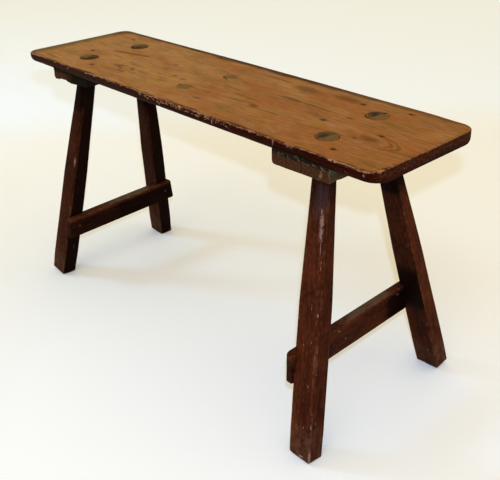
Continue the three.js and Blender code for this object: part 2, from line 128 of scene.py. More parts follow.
class Field:
    """One socket of a material. Its operators add the nodes that work the sum out."""

    def __init__(self, mix: "Mixture", socket: bpy.types.NodeSocket) -> None:
        """Keep the socket and the material that it belongs to."""
        self.mix = mix
        self.socket = socket

    __add__ = sum_method("ADD")
    __radd__ = sum_method("ADD", True)
    __sub__ = sum_method("SUBTRACT")
    __rsub__ = sum_method("SUBTRACT", True)
    __mul__ = sum_method("MULTIPLY")
    __rmul__ = sum_method("MULTIPLY", True)
    __truediv__ = sum_method("DIVIDE")
    __pow__ = sum_method("POWER")

    def __abs__(self) -> "Field":
        """Drop the sign."""
        return self.mix.maths("ABSOLUTE", self)

    def output(self, index: int) -> "Field":
        """Give another output of the node that this one comes from."""
        return Field(self.mix, self.socket.node.outputs[index])

    def smooth(self, low: float, high: float) -> "Field":
        """Ease from 0 at the low value to 1 at the high one.

        Args:
            low: Where the result is 0.
            high: Where the result is 1; it may be below the low value.

        Returns:
            The eased value.
        """
        settings = {"interpolation_type": "SMOOTHSTEP"}
        if high >= low:
            return self.mix.node("ShaderNodeMapRange", settings, {0: self, 1: low, 2: high})
        return 1 - self.mix.node("ShaderNodeMapRange", settings, {0: self, 1: high, 2: low})


Number = Union[float, Field]
Link = Union[float, tuple, Field]


class Mixture:
    """A material while it is being mixed: its node tree, its colour so far, and its nodes."""

    colour: Link = (0.0, 0.0, 0.0, 1.0)

    def __init__(self, name: str) -> None:
        """Start an empty material of that name.

        Args:
            name: The material's name.
        """
        self.material = bpy.data.materials.new(name)
        self.material.use_nodes = True
        self.tree = self.material.node_tree
        self.tree.nodes.clear()

    def node(self, kind: str, settings: dict, inputs: dict, output: Union[int, str] = 0) -> Field:
        """Add a node.

        Args:
            kind: The node's type.
            settings: Its properties.
            inputs: Values or links by socket name or number.
            output: The name or number of the socket to give back.

        Returns:
            That output.
        """
        made = self.tree.nodes.new(kind)
        for key, value in settings.items():
            setattr(made, key, value)
        for key, value in inputs.items():
            if isinstance(value, Field):
                self.tree.links.new(value.socket, made.inputs[key])
            else:
                made.inputs[key].default_value = value
        return Field(self, made.outputs[output]) if len(made.outputs) else Field(self, None)

    def maths(self, operation: str, *values: Number) -> Field:
        """Add a Math node on one to three values."""
        return self.node("ShaderNodeMath", {"operation": operation}, dict(enumerate(values)))

    def vector(self, operation: str, inputs: dict, output: Union[int, str] = 0) -> Field:
        """Add a Vector Math node."""
        return self.node("ShaderNodeVectorMath", {"operation": operation}, inputs, output)

    def blend(self, share: Number, first: Link, second: Link) -> Field:
        """Mix two colours: the first at share 0, the second at share 1."""
        inputs = {0: share, 6: first, 7: second}
        return self.node("ShaderNodeMix", {"data_type": "RGBA", "clamp_factor": True}, inputs, 2)

    def lay(self, share: Number, tint: Link) -> None:
        """Lay a share of another colour over the one so far."""
        self.colour = self.blend(share, self.colour, tint)

    def shade(self, colour: Link, factor: Number) -> Field:
        """Make a colour lighter or darker by a factor."""
        plain = colour if isinstance(colour, Field) else colour[:3]
        return self.vector("SCALE", {0: plain, "Scale": factor})

    def place(self) -> Field:
        """Give the place on the piece in millimetres."""
        here = self.node("ShaderNodeTexCoord", {}, {}, "Object")
        return self.vector("SCALE", {0: here, "Scale": 1 / MILLIMETRE})

    def local(self, space: Link, origin: Sequence[float], turn: Sequence[float]) -> Field:
        """Measure a place from a new origin, along turned axes.

        Args:
            space: The place.
            origin: The new origin.
            turn: The new axes' rotation, as three angles in radians.

        Returns:
            The place in the new axes.
        """
        inputs = {"Vector": space, "Location": tuple(origin), "Rotation": tuple(turn)}
        return self.node("ShaderNodeMapping", {"vector_type": "TEXTURE"}, inputs)

    def axes(self, space: Field) -> tuple[Field, Field, Field]:
        """Split a place into its three lengths."""
        first = self.node("ShaderNodeSeparateXYZ", {}, {0: space})
        return first, first.output(1), first.output(2)

    def join(self, x: Number, y: Number, z: Number) -> Field:
        """Join three lengths into a place."""
        return self.node("ShaderNodeCombineXYZ", {}, {0: x, 1: y, 2: z})

    def speckle(
        self, space: Link, size: Triple, detail: float = 2.0, roughness: float = 0.5, shift: float = 0.0
    ) -> Field:
        """Add cloudy noise, about 0 to 1.

        Args:
            space: The place to read.
            size: The size of its lumps along each axis, in millimetres.
            detail: How many finer layers it has.
            roughness: How strong the finer layers are.
            shift: An offset that makes it differ from another of the same size.

        Returns:
            The noise.
        """
        scale = tuple(1 / length for length in size)
        inputs = {"Vector": space, "Location": (shift, shift * 0.7, shift * 0.3), "Scale": scale}
        spread = self.node("ShaderNodeMapping", {}, inputs)
        values = {"Vector": spread, "Scale": 1.0, "Detail": detail, "Roughness": roughness}
        return self.node("ShaderNodeTexNoise", {}, values)

    def spot(self, space: Link, centre: Sequence[float], half: Triple, turn: Triple = (0, 0, 0)) -> Field:
        """Measure how far a place is from a spot's centre: 1 on its outline.

        Args:
            space: The place.
            centre: The spot's centre.
            half: Its half sizes along its own axes.
            turn: How its axes are turned, in radians.

        Returns:
            The distance in half sizes.
        """
        inputs = {"Vector": space, "Location": tuple(centre), "Rotation": tuple(turn), "Scale": tuple(half)}
        inside = self.node("ShaderNodeMapping", {"vector_type": "TEXTURE"}, inputs)
        return self.vector("LENGTH", {0: inside}, "Value")

    def nearest(self, distances: Iterable[Field]) -> Number:
        """Give the least of several distances, or a large one when there are none.

        Args:
            distances: The distances.

        Returns:
            The least.
        """
        least: Number = 100.0
        for distance in distances:
            least = distance if isinstance(least, float) else self.maths("MINIMUM", least, distance)
        return least

    def attribute(self, name: str) -> Field:
        """Read a number that the piece's points carry."""
        return self.node("ShaderNodeAttribute", {"attribute_name": name}, {}, "Fac")

    def finish(self, roughness: Number, height: Number, gloss: float) -> Finish:
        """Close the material with its surface shader.

        Args:
            roughness: The roughness.
            height: The fine relief in millimetres.
            gloss: The specular level.

        Returns:
            The material.
        """
        relief = {"Height": height, "Distance": MILLIMETRE, "Strength": 1.0}
        surface = {
            "Base Color": self.colour,
            "Roughness": roughness,
            "Normal": self.node("ShaderNodeBump", {}, relief),
            "Metallic": 0.0,
            "Specular IOR Level": gloss,
        }
        shader = self.node("ShaderNodeBsdfPrincipled", {}, surface)
        self.node("ShaderNodeOutputMaterial", {}, {"Surface": shader})
        return self.material


@dataclass(frozen=True)
class Stain:
    """A soft spot on the seat's top: its centre, half sizes and turn in plan."""

    x: float
    y: float
    half_length: float
    half_width: float
    degrees: float = 0.0

    def distance(self, mix: Mixture, space: Field) -> Field:
        """Measure how far a place is from this spot's centre, in half sizes."""
        half, turn = (self.half_length, self.half_width, 12.0), (0.0, 0.0, math.radians(self.degrees))
        return mix.spot(space, (self.x, self.y, SEAT_TOP), half, turn)


@dataclass(frozen=True)
class Fleck:
    """A small spot of paler paint, long along the grain: mostly a chip in the paint, in a few places a
    painted highlight.
    """

    x: float
    y: float
    z: float
    half_across: float
    half_along: float


@dataclass(frozen=True)
class OldPaint:
    """Worn oxblood paint over brown wood."""

    deep: Tone = tone(46, 18, 8)
    red: Tone = tone(78, 35, 17)
    brown: Tone = tone(90, 52, 28)
    rubbed: Tone = tone(114, 80, 62)
    # Colour of chips in the paint, and of the painted highlights that some flecks draw.
    chip_and_highlight: Tone = tone(158, 124, 112)

    def coat(self, mix: Mixture, space: Field, worn: Number, chips: Number) -> tuple[Field, Field]:
        """Mix the paint as the material's colour so far.

        Args:
            mix: The material that it is for.
            space: The place on the piece, with the third axis along the grain.
            worn: How worn the arris is there, from 0 to 1.
            chips: The distance from the nearest fleck, in half sizes: a chip or a painted highlight.

        Returns:
            Its roughness and its relief in millimetres.
        """
        streak = mix.speckle(space, (3.4, 3.4, 60.0), 3.0, 0.6)
        broad = mix.speckle(space, (24.0, 24.0, 75.0), 3.0, 0.55, 7.0)
        mottle = mix.speckle(space, (5.0, 5.0, 9.0), 3.0, 0.65, 3.0)
        grit = mix.speckle(space, (1.7, 1.7, 2.6), 2.0, 0.6, 5.0)
        mix.colour = self.deep
        mix.lay((0.24 * streak + 0.46 * broad + 0.3 * mottle).smooth(0.37, 0.6), self.red)
        mix.lay(0.5 * (0.6 * mottle + 0.4 * streak).smooth(0.52, 0.7), self.brown)
        mix.colour = mix.shade(mix.colour, 0.8 + 0.4 * grit)
        rub = (worn + 1.5 * (mottle - 0.5) + 0.9 * (broad - 0.5)).smooth(0.8, 1.35)
        mix.lay(0.32 * rub, self.rubbed)
        mix.lay(0.6 * (grit + 0.7 * (broad - 0.5) + 0.05 * worn).smooth(0.79, 0.86), self.chip_and_highlight)
        # Flecks in the pale colour of chips: mostly chips, in a few places painted highlights.
        if isinstance(chips, Field):
            ragged = chips + 1.2 * (mottle - 0.5) + 3.2 * (grit - 0.5)
            mix.lay(0.7 * ragged.smooth(1.2, 0.3), self.chip_and_highlight)
        height = 0.12 * streak + 0.22 * mottle + 0.1 * grit - 0.12 * rub
        return 0.4 + 0.22 * mottle + 0.2 * rub, height


@dataclass(frozen=True)
class PaintedBar:
    """The finish of a leg or stretcher: paint that follows the bar's own axis, with painted shade and a
    painted sheen laid over it.
    """

    origin: Triple
    turn: Triple
    flecks: tuple[Fleck, ...] = ()
    # Where the painted shadow's dark crescent lies on the tenon's end, and how dark it is.
    crescent: Triple = (0.0, 0.0, 0.0)
    tenon: Vector = Vector((0.0, 0.0, 0.0)).freeze()
    # Centre of a painted highlight: a lilac sheen in streaks.
    sheen: Triple = (0.0, 0.0, -200.0)
    paint: OldPaint = OldPaint()
    # Colour of the painted shade laid over the paint.
    painted_shade: Tone = tone(11, 4, 2)
    dust: Tone = tone(98, 75, 54)
    # Colour of the painted sheen.
    lilac: Tone = tone(104, 82, 84)
    end_grain: Tone = tone(116, 90, 56)
    # The end grain's dark soiling, and the colour of the painted crescent shadow.
    end_dirt_and_shade: Tone = tone(46, 30, 14)
    rim: Tone = tone(134, 92, 46)
    gloss: float = 0.012

    def material(self, name: str) -> Finish:
        """Mix the finish.

        Args:
            name: The material's name.

        Returns:
            The material.
        """
        mix = Mixture(name)
        place = mix.place()
        space = mix.local(place, self.origin, self.turn)
        halves = [(f, (f.half_across, f.half_across, f.half_along)) for f in self.flecks]
        flecks = mix.nearest(mix.spot(place, (f.x, f.y, f.z), half, self.turn) for f, half in halves)
        roughness, height = self.paint.coat(mix, space, mix.attribute("worn"), flecks)
        cloud = mix.speckle(space, (9.0, 9.0, 16.0), 3.0, 0.6, 11.0)
        # Painted shade: the points' shade share lays a near-black over the paint, though not over the
        # flecks.
        shade = (mix.attribute("shade") + 0.35 * (cloud - 0.5)).smooth(0.05, 0.95)
        if isinstance(flecks, Field):
            shade = shade * flecks.smooth(0.4, 1.3)
        mix.lay(0.95 * shade, self.painted_shade)
        # Painted highlight: a lilac sheen in streaks round the sheen's centre.
        wisp = mix.speckle(space, (3.2, 3.2, 46.0), 3.0, 0.6, 23.0)
        painted_sheen = mix.spot(place, self.sheen, (14.0, 12.0, 44.0)) + 3.4 * (wisp - 0.5)
        mix.lay(0.18 * painted_sheen.smooth(1.3, 0.3), self.lilac)
        dust = (mix.attribute("dusty") + 0.9 * (cloud - 0.5)).smooth(0.45, 1.0) * (1 - shade)
        mix.lay(0.85 * dust, self.dust)
        end = (mix.attribute("end") + 0.9 * (cloud - 0.5)).smooth(0.4, 0.6)
        mix.lay(end, self.cut_end(mix, place, space, cloud))
        return mix.finish(roughness + 0.15 * dust + 0.2 * end, height, self.gloss)

    def cut_end(self, mix: Mixture, place: Field, space: Field, cloud: Field) -> Field:
        """Colour the sawn end of the wood, with a painted shadow as a dark crescent on one side of the
        tenon.

        Args:
            mix: The material.
            place: The place on the piece.
            space: The same along the bar.
            cloud: Cloudy noise.

        Returns:
            The colour.
        """
        x, y, z = mix.axes(space)
        wander = mix.speckle(space, (9.0, 9.0, 9.0), 2.0)
        radius = ((x + 6) ** 2 + (y - 3) ** 2) ** 0.5 + 3 * wander
        ring = mix.maths("FRACT", radius / 3.4).smooth(0.3, 0.95)
        pores = mix.speckle(space, (1.1, 1.1, 6.0), 2.0, 0.6)
        share = 0.3 * ring + 0.8 * (pores - 0.42) + 0.8 * (cloud - 0.5)
        cut = mix.blend(share, self.end_grain, self.end_dirt_and_shade)
        # Painted shadow: a dark crescent on one side of the tenon's end.
        dx, dy, crescent_shade = self.crescent
        end = self.tenon
        moved = (end.x + dx, end.y + dy, SEAT_TOP)
        away = mix.spot(place, moved, (17.0, 17.0, 90.0)) + 0.5 * (cloud - 0.5)
        high = z.smooth(400.0, 420.0)
        cut = mix.blend(crescent_shade * away.smooth(0.5, 1.15) * high, cut, self.end_dirt_and_shade)
        edge = ((x * x + y * y) ** 0.5 + 6.0 * (cloud - 0.5)).smooth(12.5, 17.5)
        cut = mix.blend((1.3 - crescent_shade) * edge * high, cut, self.rim)
        dirty = (end.x - 1.6 * dx, end.y - 1.6 * dy, SEAT_TOP)
        smear = mix.spot(place, dirty, (8.0, 12.0, 90.0)) + 1.2 * (cloud - 0.5)
        return mix.blend(0.8 * smear.smooth(1.2, 0.3) * high, cut, self.end_dirt_and_shade)


@dataclass(frozen=True)
class SeatWood:
    """Worn bare wood on top, old paint on the edges, brown unpainted wood below."""

    honey: Tone = tone(168, 120, 64)
    russet: Tone = tone(154, 96, 46)
    rose: Tone = tone(160, 112, 74)
    umber: Tone = tone(98, 55, 18)
    smoke: Tone = tone(132, 104, 50)
    soot: Tone = tone(62, 38, 18)
    moss: Tone = tone(84, 70, 34)
    plum: Tone = tone(96, 56, 48)
    scar: Tone = tone(126, 70, 20)
    edge_paint: OldPaint = OldPaint(tone(20, 3, 1), tone(44, 10, 3), tone(52, 24, 10))
    rim_paint: Tone = tone(70, 32, 20)
    brown_paint: Tone = tone(50, 29, 18)
    pale: Tone = tone(178, 134, 98)
    end_wood: Tone = tone(88, 50, 29)
    underside: Tone = tone(84, 58, 38)
    bare_roughness: float = 0.52
    gloss: float = 0.012
    knots: tuple[Stain, ...] = table(Stain, (
        (-25.0, -52.0, 16.5, 15.5), (-8.0, 46.5, 16.0, 12.0),
    ))
    smudges: tuple[Stain, ...] = table(Stain, (
        (-211.0, -62.0, 14.0, 4.0, -12), (-196.0, -72.0, 16.0, 3.0, -8), (-147.7, 27.0, 7.0, 3.5),
        (-61.0, -25.0, 9.0, 4.5, 10), (-89.0, -21.0, 7.0, 4.0, -20), (141.0, -39.0, 12.0, 8.0),
        (42.0, -79.0, 14.0, 3.5), (295.0, 22.0, 9.0, 3.5), (355.0, -38.0, 8.0, 3.0, -10),
        (165.0, 29.0, 42.0, 6.0, -1.5), (222.0, 26.5, 50.0, 4.0, -1.5), (60.0, 96.0, 60.0, 3.0, -2),
        (-390.0, -106.0, 30.0, 3.0, -4),
    ))
    damps: tuple[Stain, ...] = table(Stain, (
        (150.0, 84.0, 44.0, 17.0, -7), (232.0, 92.0, 34.0, 13.0, -7), (374.0, -28.0, 21.0, 11.0, -14),
        (-225.0, -52.0, 24.0, 9.0, 12),
    ))
    greys: tuple[Stain, ...] = table(Stain, (
        (378.0, -24.0, 24.0, 10.0, -12), (252.0, -2.0, 34.0, 12.0, -16), (430.0, -100.0, 16.0, 5.0),
        (-150.0, -50.0, 26.0, 8.0, -4), (-342.0, -56.0, 10.0, 15.0),
    ))
    tongue: Stain = Stain(380.0, -26.0, 50.0, 19.0, -9)
    bruise: Stain = Stain(-185.0, -51.5, 12.0, 7.0, -28)
    scratch: Stain = Stain(-282.0, 15.7, 47.0, 6.6, 12.3)
    scratch_ends: tuple[Stain, ...] = (
        Stain(-324.0, 6.5, 8.0, 4.6, 12), Stain(-241.0, 24.5, 7.0, 4.4, 12),
    )
    pits: tuple[Stain, ...] = (Stain(-40.0, -50.0, 3.6, 3.0), Stain(-12.0, 34.5, 13.0, 3.6, -24))
    scuffs: tuple[tuple[Triple, Triple], ...] = (
        ((-4.0, -126.5, 490.0), (1.4, 3.0, 8.0)), ((134.0, -126.5, 494.0), (1.6, 3.0, 6.0)),
        ((-60.0, -126.5, 497.0), (5.0, 3.0, 3.0)), ((-300.0, -126.5, 496.0), (3.0, 3.0, 2.5)),
        ((272.0, -126.5, 496.0), (1.6, 3.0, 4.0)), ((305.0, -126.5, 498.0), (8.0, 3.0, 2.2)),
        ((443.0, -124.0, 494.0), (1.4, 6.0, 2.0)), ((462.0, 48.5, 494.0), (4.0, 1.3, 1.3)),
        ((462.0, -4.6, 486.4), (4.0, 1.1, 1.1)), ((462.0, -60.0, 490.0), (4.0, 1.0, 1.0)),
    )

    def material(self, nails: Sequence[Vector], tenons: Sequence[Vector]) -> Finish:
        """Mix the seat's finish.

        Args:
            nails: The places of the nails' heads.
            tenons: The places of the tenons' ends.

        Returns:
            The material.
        """
        mix = SeatMixture(self)
        paint_roughness, paint_height = mix.paint_edges()
        paint = mix.colour
        height = mix.colour_top()
        mix.mark_top(nails, tenons)
        rim = mix.attribute("rim")
        mix.mark_rim(rim)
        bite = mix.speckle(mix.here, (7.0, 5.0, 2.5), 3.0, 0.65, 5.0)
        below_arris = (mix.z + 1.2 * (bite - 0.5)).smooth(498.6, 497.6)
        side = mix.maths("MAXIMUM", below_arris, (rim + 1.8 * (bite - 0.5)).smooth(1.1, 0.5))
        mix.lay(side, paint)
        mix.lay(mix.bare_below(), mix.shade(self.underside, 0.6 + 0.7 * bite))
        fine = mix.speckle(mix.here, (3.0, 2.0, 1.6), 2.0, 0.6, 8.0)
        flaked = (mix.attribute("chip") + 1.7 * (bite - 0.5) + 0.9 * (fine - 0.5)).smooth(0.64, 0.92)
        mix.lay(0.8 * flaked, mix.blend(fine.smooth(0.35, 0.6), self.scar, self.pale))
        height = height * (1 - side) + paint_height * side
        bare = self.bare_roughness
        return mix.finish(bare + side * (paint_roughness - bare), height, self.gloss)


class SeatMixture(Mixture):
    """The seat's material while it is being mixed, with the places that its steps all read."""

    def __init__(self, wood: SeatWood) -> None:
        """Start it, with the board's grain bent round its knots.

        Args:
            wood: The seat's colours and marks.
        """
        super().__init__("seat_wood")
        self.wood = wood
        self.here = self.place()
        self.x, self.y, self.z = self.axes(self.here)
        flow = self.y + 14 * (self.speckle(self.here, (330.0, 90.0, 90.0), 1.0) - 0.5)
        flow = flow + 5 * (self.speckle(self.here, (52.0, 18.0, 18.0), 2.0) - 0.5)
        for knot in wood.knots:
            half = (1.9 * knot.half_length, knot.half_width, 90.0)
            near = self.spot(self.here, (knot.x, knot.y, SEAT_TOP), half)
            flow = flow - (self.y - knot.y) / (near * near + 0.4)
        self.flow = flow
        self.grain = self.join(self.x, flow, self.z)

    def rings(self) -> Field:
        """Cut the growth rings, whose tongues point to the right.

        Returns:
            How dark the late wood is.
        """
        depth = 8 + 0.05 * (self.x + HALF_LENGTH)
        radius = ((self.flow + 26) ** 2 + depth * depth) ** 0.5
        radius = radius + 4 * (self.speckle(self.here, (80.0, 14.0, 14.0), 3.0, 0.55, 9.0) - 0.5)
        phase = self.maths("FRACT", radius / 5.6)
        return phase.smooth(0.25, 0.85) * phase.smooth(1.0, 0.9)

    def colour_top(self) -> Field:
        """Colour the worn top.

        Returns:
            Its relief in millimetres.
        """
        wood, x, y, late = self.wood, self.x, self.y, self.rings()
        cloud = self.speckle(self.here, (120.0, 40.0, 40.0), 3.0, 0.55)
        patch = self.speckle(self.here, (50.0, 15.0, 15.0), 3.0, 0.6, 4.0)
        dapple = self.speckle(self.here, (17.0, 7.0, 7.0), 3.0, 0.65, 12.0)
        bloom = self.speckle(self.here, (34.0, 16.0, 16.0), 3.0, 0.6, 21.0)
        fibre = self.speckle(self.grain, (30.0, 1.5, 1.5), 3.0, 0.65)
        streak = self.speckle(self.grain, (38.0, 3.6, 3.6), 3.0, 0.65, 2.0)
        dash = self.speckle(self.grain, (12.0, 1.7, 1.7), 2.0, 0.6, 6.0)
        self.colour = wood.honey
        self.lay((cloud + 0.0004 * x + 0.3 * (dapple - 0.5)).smooth(0.34, 0.64), wood.russet)
        self.lay(0.5 * patch.smooth(0.46, 0.68), wood.smoke)
        self.lay(0.55 * bloom.smooth(0.48, 0.66), wood.rose)
        self.lay(late * (0.12 + 0.36 * patch.smooth(0.42, 0.66)), wood.umber)
        self.lay(0.36 * streak.smooth(0.5, 0.74), wood.umber)
        self.lay(0.26 * dash.smooth(0.58, 0.76), wood.umber)
        self.colour = self.shade(self.colour, 0.56 + 0.3 * fibre + 0.56 * dapple)
        ragged = 22 * (patch - 0.5) + 12 * (streak - 0.5)
        self.lay(0.75 * (x + 1.6 * ragged).smooth(-424.0, -452.0), wood.moss)
        self.lay(0.75 * (x - 1.2 * y + 2 * ragged).smooth(-545.0, -580.0), wood.umber)
        rear = (y + 0.0065 * x + 0.6 * ragged).smooth(112.0, 121.0)
        self.lay(rear * (0.9 - 0.4 * x.smooth(100.0, 350.0)), wood.soot)
        return 0.3 * fibre + 0.3 * streak - 0.3 * late + 0.3 * dapple

    def mark_rim(self, rim: Field) -> None:
        """Leave scraps of paint and a pale rubbed line along the top's front edge.

        Args:
            rim: The distance from the board's outline.
        """
        scrap = self.speckle(self.here, (70.0, 6.0, 6.0), 3.0, 0.65, 15.0)
        rag = self.speckle(self.here, (9.0, 3.0, 3.0), 3.0, 0.65, 16.0)
        front = self.y.smooth(-70.0, -95.0)
        left_on = (rim + 22 * (scrap - 0.5) + 5 * (rag - 0.5)).smooth(5.5, 3.5)
        self.lay(left_on * (0.25 + 0.6 * front), self.wood.rim_paint)
        line = (rim + 1.6 * (rag - 0.5)).smooth(3.6, 2.6) * (scrap + 0.8 * (rag - 0.5)).smooth(0.44, 0.6)
        self.lay(line * (0.18 + 0.44 * front), self.wood.pale)

    def paint_edges(self) -> tuple[Field, Field]:
        """Paint the board's edges, thinly on the end grain, as the colour so far.

        Returns:
            The roughness and the relief.
        """
        scuffs = self.nearest(self.spot(self.here, centre, half) for centre, half in self.wood.scuffs)
        paint = self.wood.edge_paint
        along = self.join(self.z, self.y, self.x)
        finish = paint.coat(self, along, 0.4 * self.attribute("worn"), scuffs)
        self.lay(0.55 * self.x.smooth(60.0, -140.0), self.wood.brown_paint)
        pits = self.speckle(self.here, (6.0, 6.0, 3.4), 3.0, 0.6, 21.0)
        bare = self.blend(pits.smooth(0.34, 0.68), paint.red, self.wood.end_wood)
        thin = abs(self.x).smooth(452.0, 461.0) * (self.z + 9 * (pits - 0.5)).smooth(479.0, 494.0)
        self.lay(0.55 * thin, bare)
        return finish

    def stain(self, spots: Iterable, share: float, rag: Field, low: float, high: float, tint: Link) -> None:
        """Lay ragged spots over the colour so far.

        Args:
            spots: The stains, or the distances from other spots in half sizes.
            share: How strong they are.
            rag: How far their outline wanders.
            low: The distance where they begin.
            high: The distance where they are full.
            tint: Their colour.
        """
        near = self.nearest(s.distance(self, self.here) if isinstance(s, Stain) else s for s in spots)
        self.lay(share * (near + rag).smooth(low, high), tint)

    def mark_top(self, nails: Sequence[Vector], tenons: Sequence[Vector]) -> None:
        """Lay the knots, stains and scars over the top's colour.

        Args:
            nails: The places of the nails' heads.
            tenons: The places of the tenons' ends.
        """
        wood = self.wood
        ragged = 1.1 * (self.speckle(self.grain, (13.0, 3.4, 3.4), 3.0, 0.65, 6.0) - 0.5)
        self.stain(wood.smudges, 0.6, 1.3 * ragged, 1.2, 0.3, wood.soot)
        self.stain(wood.greys, 0.38, 1.5 * ragged, 1.25, 0.2, wood.moss)
        tongue = wood.tongue.distance(self, self.here) + 0.3 * ragged
        outline = abs(tongue - 1).smooth(0.11, 0.02) + abs(tongue - 0.72).smooth(0.09, 0.02)
        self.lay(0.6 * outline * self.x.smooth(372.0, 400.0), wood.umber)
        self.stain(wood.damps, 0.65, 1.3 * ragged, 1.25, 0.2, wood.umber)
        self.stain([wood.bruise], 0.75, ragged, 1.1, 0.3, wood.plum)
        self.stain([wood.scratch], 0.85, 0.4 * ragged, 1.15, 0.8, wood.scar)
        self.stain(wood.scratch_ends, 0.5, ragged, 1.1, 0.5, wood.soot)
        near = self.nearest(knot.distance(self, self.here) for knot in wood.knots)
        turns = self.maths("FRACT", 3.2 * near + ragged).smooth(0.2, 0.9)
        heart = self.blend(0.3 + 0.4 * turns + 0.4 * ragged, wood.smoke, wood.soot)
        self.stain([near], 0.85, 0.35 * ragged, 1.16, 0.7, heart)
        self.stain(wood.pits, 0.8, ragged, 1.1, 0.5, wood.soot)
        halos = [self.spot(self.here, nail, (7.5, 4.6, 6.0)) for nail in nails]
        self.stain(halos, 0.85, ragged, 1.3, 0.5, wood.umber)
        seats = [self.spot(self.here, tenon, (18.0, 18.0, 30.0)) for tenon in tenons]
        self.stain(seats, 0.5, 0.3 * ragged, 1.2, 1.0, wood.umber)

    def bare_below(self) -> Field:
        """Find the underside, which the brush only reached round its rim.

        Returns:
            1 where the wood is bare below, 0 elsewhere.
        """
        inside = self.maths("MINIMUM", HALF_LENGTH - abs(self.x), HALF_DEPTH - abs(self.y))
        brush = self.speckle(self.grain, (50.0, 9.0, 9.0), 3.0, 0.6, 8.0)
        return self.z.smooth(482.6, 481.4) * (inside + 34 * (brush - 0.5)).smooth(14.0, 24.0)


@dataclass(frozen=True)
class BattenWood:
    """Rough old wood, its upper arris greened by soiling, its rings round a pith below, with painted shade
    along its top under the seat.
    """

    pith: Pair
    turn: Triple
    gloom: float = 0.0
    patina: float = 0.8
    chip: Triple = (366.5, -124.0, 470.0)
    brown: Tone = tone(78, 48, 30)
    dark: Tone = tone(40, 24, 13)
    green: Tone = tone(60, 66, 48)
    pale: Tone = tone(122, 92, 70)
    black: Tone = tone(17, 16, 11)
    gloss: float = 0.01

    def material(self, name: str) -> Finish:
        """Mix the finish.

        Args:
            name: The material's name.

        Returns:
            The material.
        """
        mix = Mixture(name)
        place = mix.place()
        space = mix.local(place, (self.pith[0], 0.0, self.pith[1]), self.turn)
        x, y, z = mix.axes(space)
        warp = mix.speckle(space, (22.0, 90.0, 22.0), 2.0)
        radius = (x * x + z * z) ** 0.5 + 6 * warp
        ring = mix.maths("FRACT", radius / 4.4).smooth(0.2, 0.9)
        fibre = mix.speckle(space, (2.2, 50.0, 2.2), 3.0, 0.6)
        cloud = mix.speckle(space, (20.0, 40.0, 12.0), 3.0, 0.6, 5.0)
        bite = mix.speckle(space, (6.0, 9.0, 5.0), 3.0, 0.6, 9.0)
        mix.colour = self.brown
        mix.lay((0.14 * ring + 0.95 * fibre).smooth(0.28, 0.85), self.dark)
        under = SEAT_UNDERSIDE - self.pith[1]
        # Painted shade: a near-black band along the top, just under the seat.
        mix.lay(0.85 * z.smooth(under - 3.5, under - 0.5), self.black)
        patina = (z.smooth(under - 8, under - 2) + 3.4 * (bite - 0.55) + cloud - 0.5).smooth(0.9, 1.4)
        mix.lay(self.patina * patina, self.green)
        chip = mix.spot(place, self.chip, (4.0, 6.0, 6.5)) + 2.4 * (bite - 0.5)
        mix.lay(0.7 * chip.smooth(1.0, 0.6), self.pale)
        mix.lay(mix.attribute("flank") * (0.45 + 2.2 * (cloud - 0.5)), mix.shade(self.green, 1.1))
        mix.lay(0.5 * (mix.attribute("worn") + 1.3 * (bite - 0.5)).smooth(0.9, 1.3), self.pale)
        mix.lay(self.gloom * (x + 34 * (cloud - 0.5)).smooth(-46.0, 2.0), self.black)
        return mix.finish(0.62 + 0.2 * bite, 0.3 * fibre - 0.15 * ring + 0.2 * bite, self.gloss)


@dataclass(frozen=True)
class WedgeWood:
    """The dirty end of a riven wedge."""

    light: Tone = tone(96, 74, 44)
    dark: Tone = tone(34, 24, 14)
    gloss: float = 0.02

    def material(self) -> Finish:
        """Mix the finish.

        Returns:
            The material.
        """
        mix = Mixture("wedge_wood")
        place = mix.place()
        fibre = mix.speckle(place, (1.1, 5.0, 9.0), 3.0, 0.6)
        cloud = mix.speckle(place, (7.0, 9.0, 9.0), 2.0, 0.5, 3.0)
        mix.colour = self.dark
        mix.lay((0.5 * fibre + 0.5 * cloud).smooth(0.38, 0.62), self.light)
        return mix.finish(0.6 + 0.2 * fibre, 0.3 * fibre, self.gloss)


@dataclass(frozen=True)
class ForgedIron:
    """Hand-forged nails gone brown with rust."""

    black: Tone = tone(54, 28, 11)
    rust: Tone = tone(92, 48, 16)
    gloss: float = 0.05

    def material(self) -> Finish:
        """Mix the finish.

        Returns:
            The material.
        """
        mix = Mixture("forged_iron")
        place = mix.place()
        scale = mix.speckle(place, (1.6, 1.6, 1.6), 3.0, 0.65)
        bloom = mix.speckle(place, (4.0, 4.0, 4.0), 2.0, 0.5, 3.0)
        mix.colour = self.black
        mix.lay((0.5 * scale + 0.5 * bloom).smooth(0.45, 0.6), self.rust)
        return mix.finish(0.5 + 0.35 * scale, 0.25 * scale, self.gloss)


@dataclass(frozen=True)
class StudioFloor:
    """A pale studio floor whose colour holds painted light and shade: white near the camera, warmer and
    dimmer round and behind the bench, cool far off, and dimmer to the left.
    """

    white: Tone = tone(255, 254, 250)
    warm: Tone = tone(249, 246, 234)
    cool: Tone = tone(248, 253, 255)
    dim: Tone = tone(246, 241, 226)
    roughness: float = 0.9

    def material(self) -> Finish:
        """Mix the finish.

        Returns:
            The material.
        """
        mix = Mixture("studio_floor")
        place = mix.place()
        cloud = mix.speckle(place, (700.0, 700.0, 700.0), 3.0, 0.55)
        x, y, _ = mix.axes(place)
        # Painted light and shade: the floor's tone changes with distance from the camera and towards the
        # left.
        far = 0.667 * y - 0.745 * x + 160 * (cloud - 0.5)
        mix.colour = self.white
        mix.lay(far.smooth(-250.0, 400.0), self.warm)
        mix.lay(far.smooth(950.0, 1400.0), self.cool)
        side = 0.667 * x + 0.745 * y + 160 * (cloud - 0.5)
        mix.lay(side.smooth(-300.0, -850.0) * far.smooth(1000.0, 600.0), self.dim)
        return mix.finish(self.roughness, 0.0, 0.0)


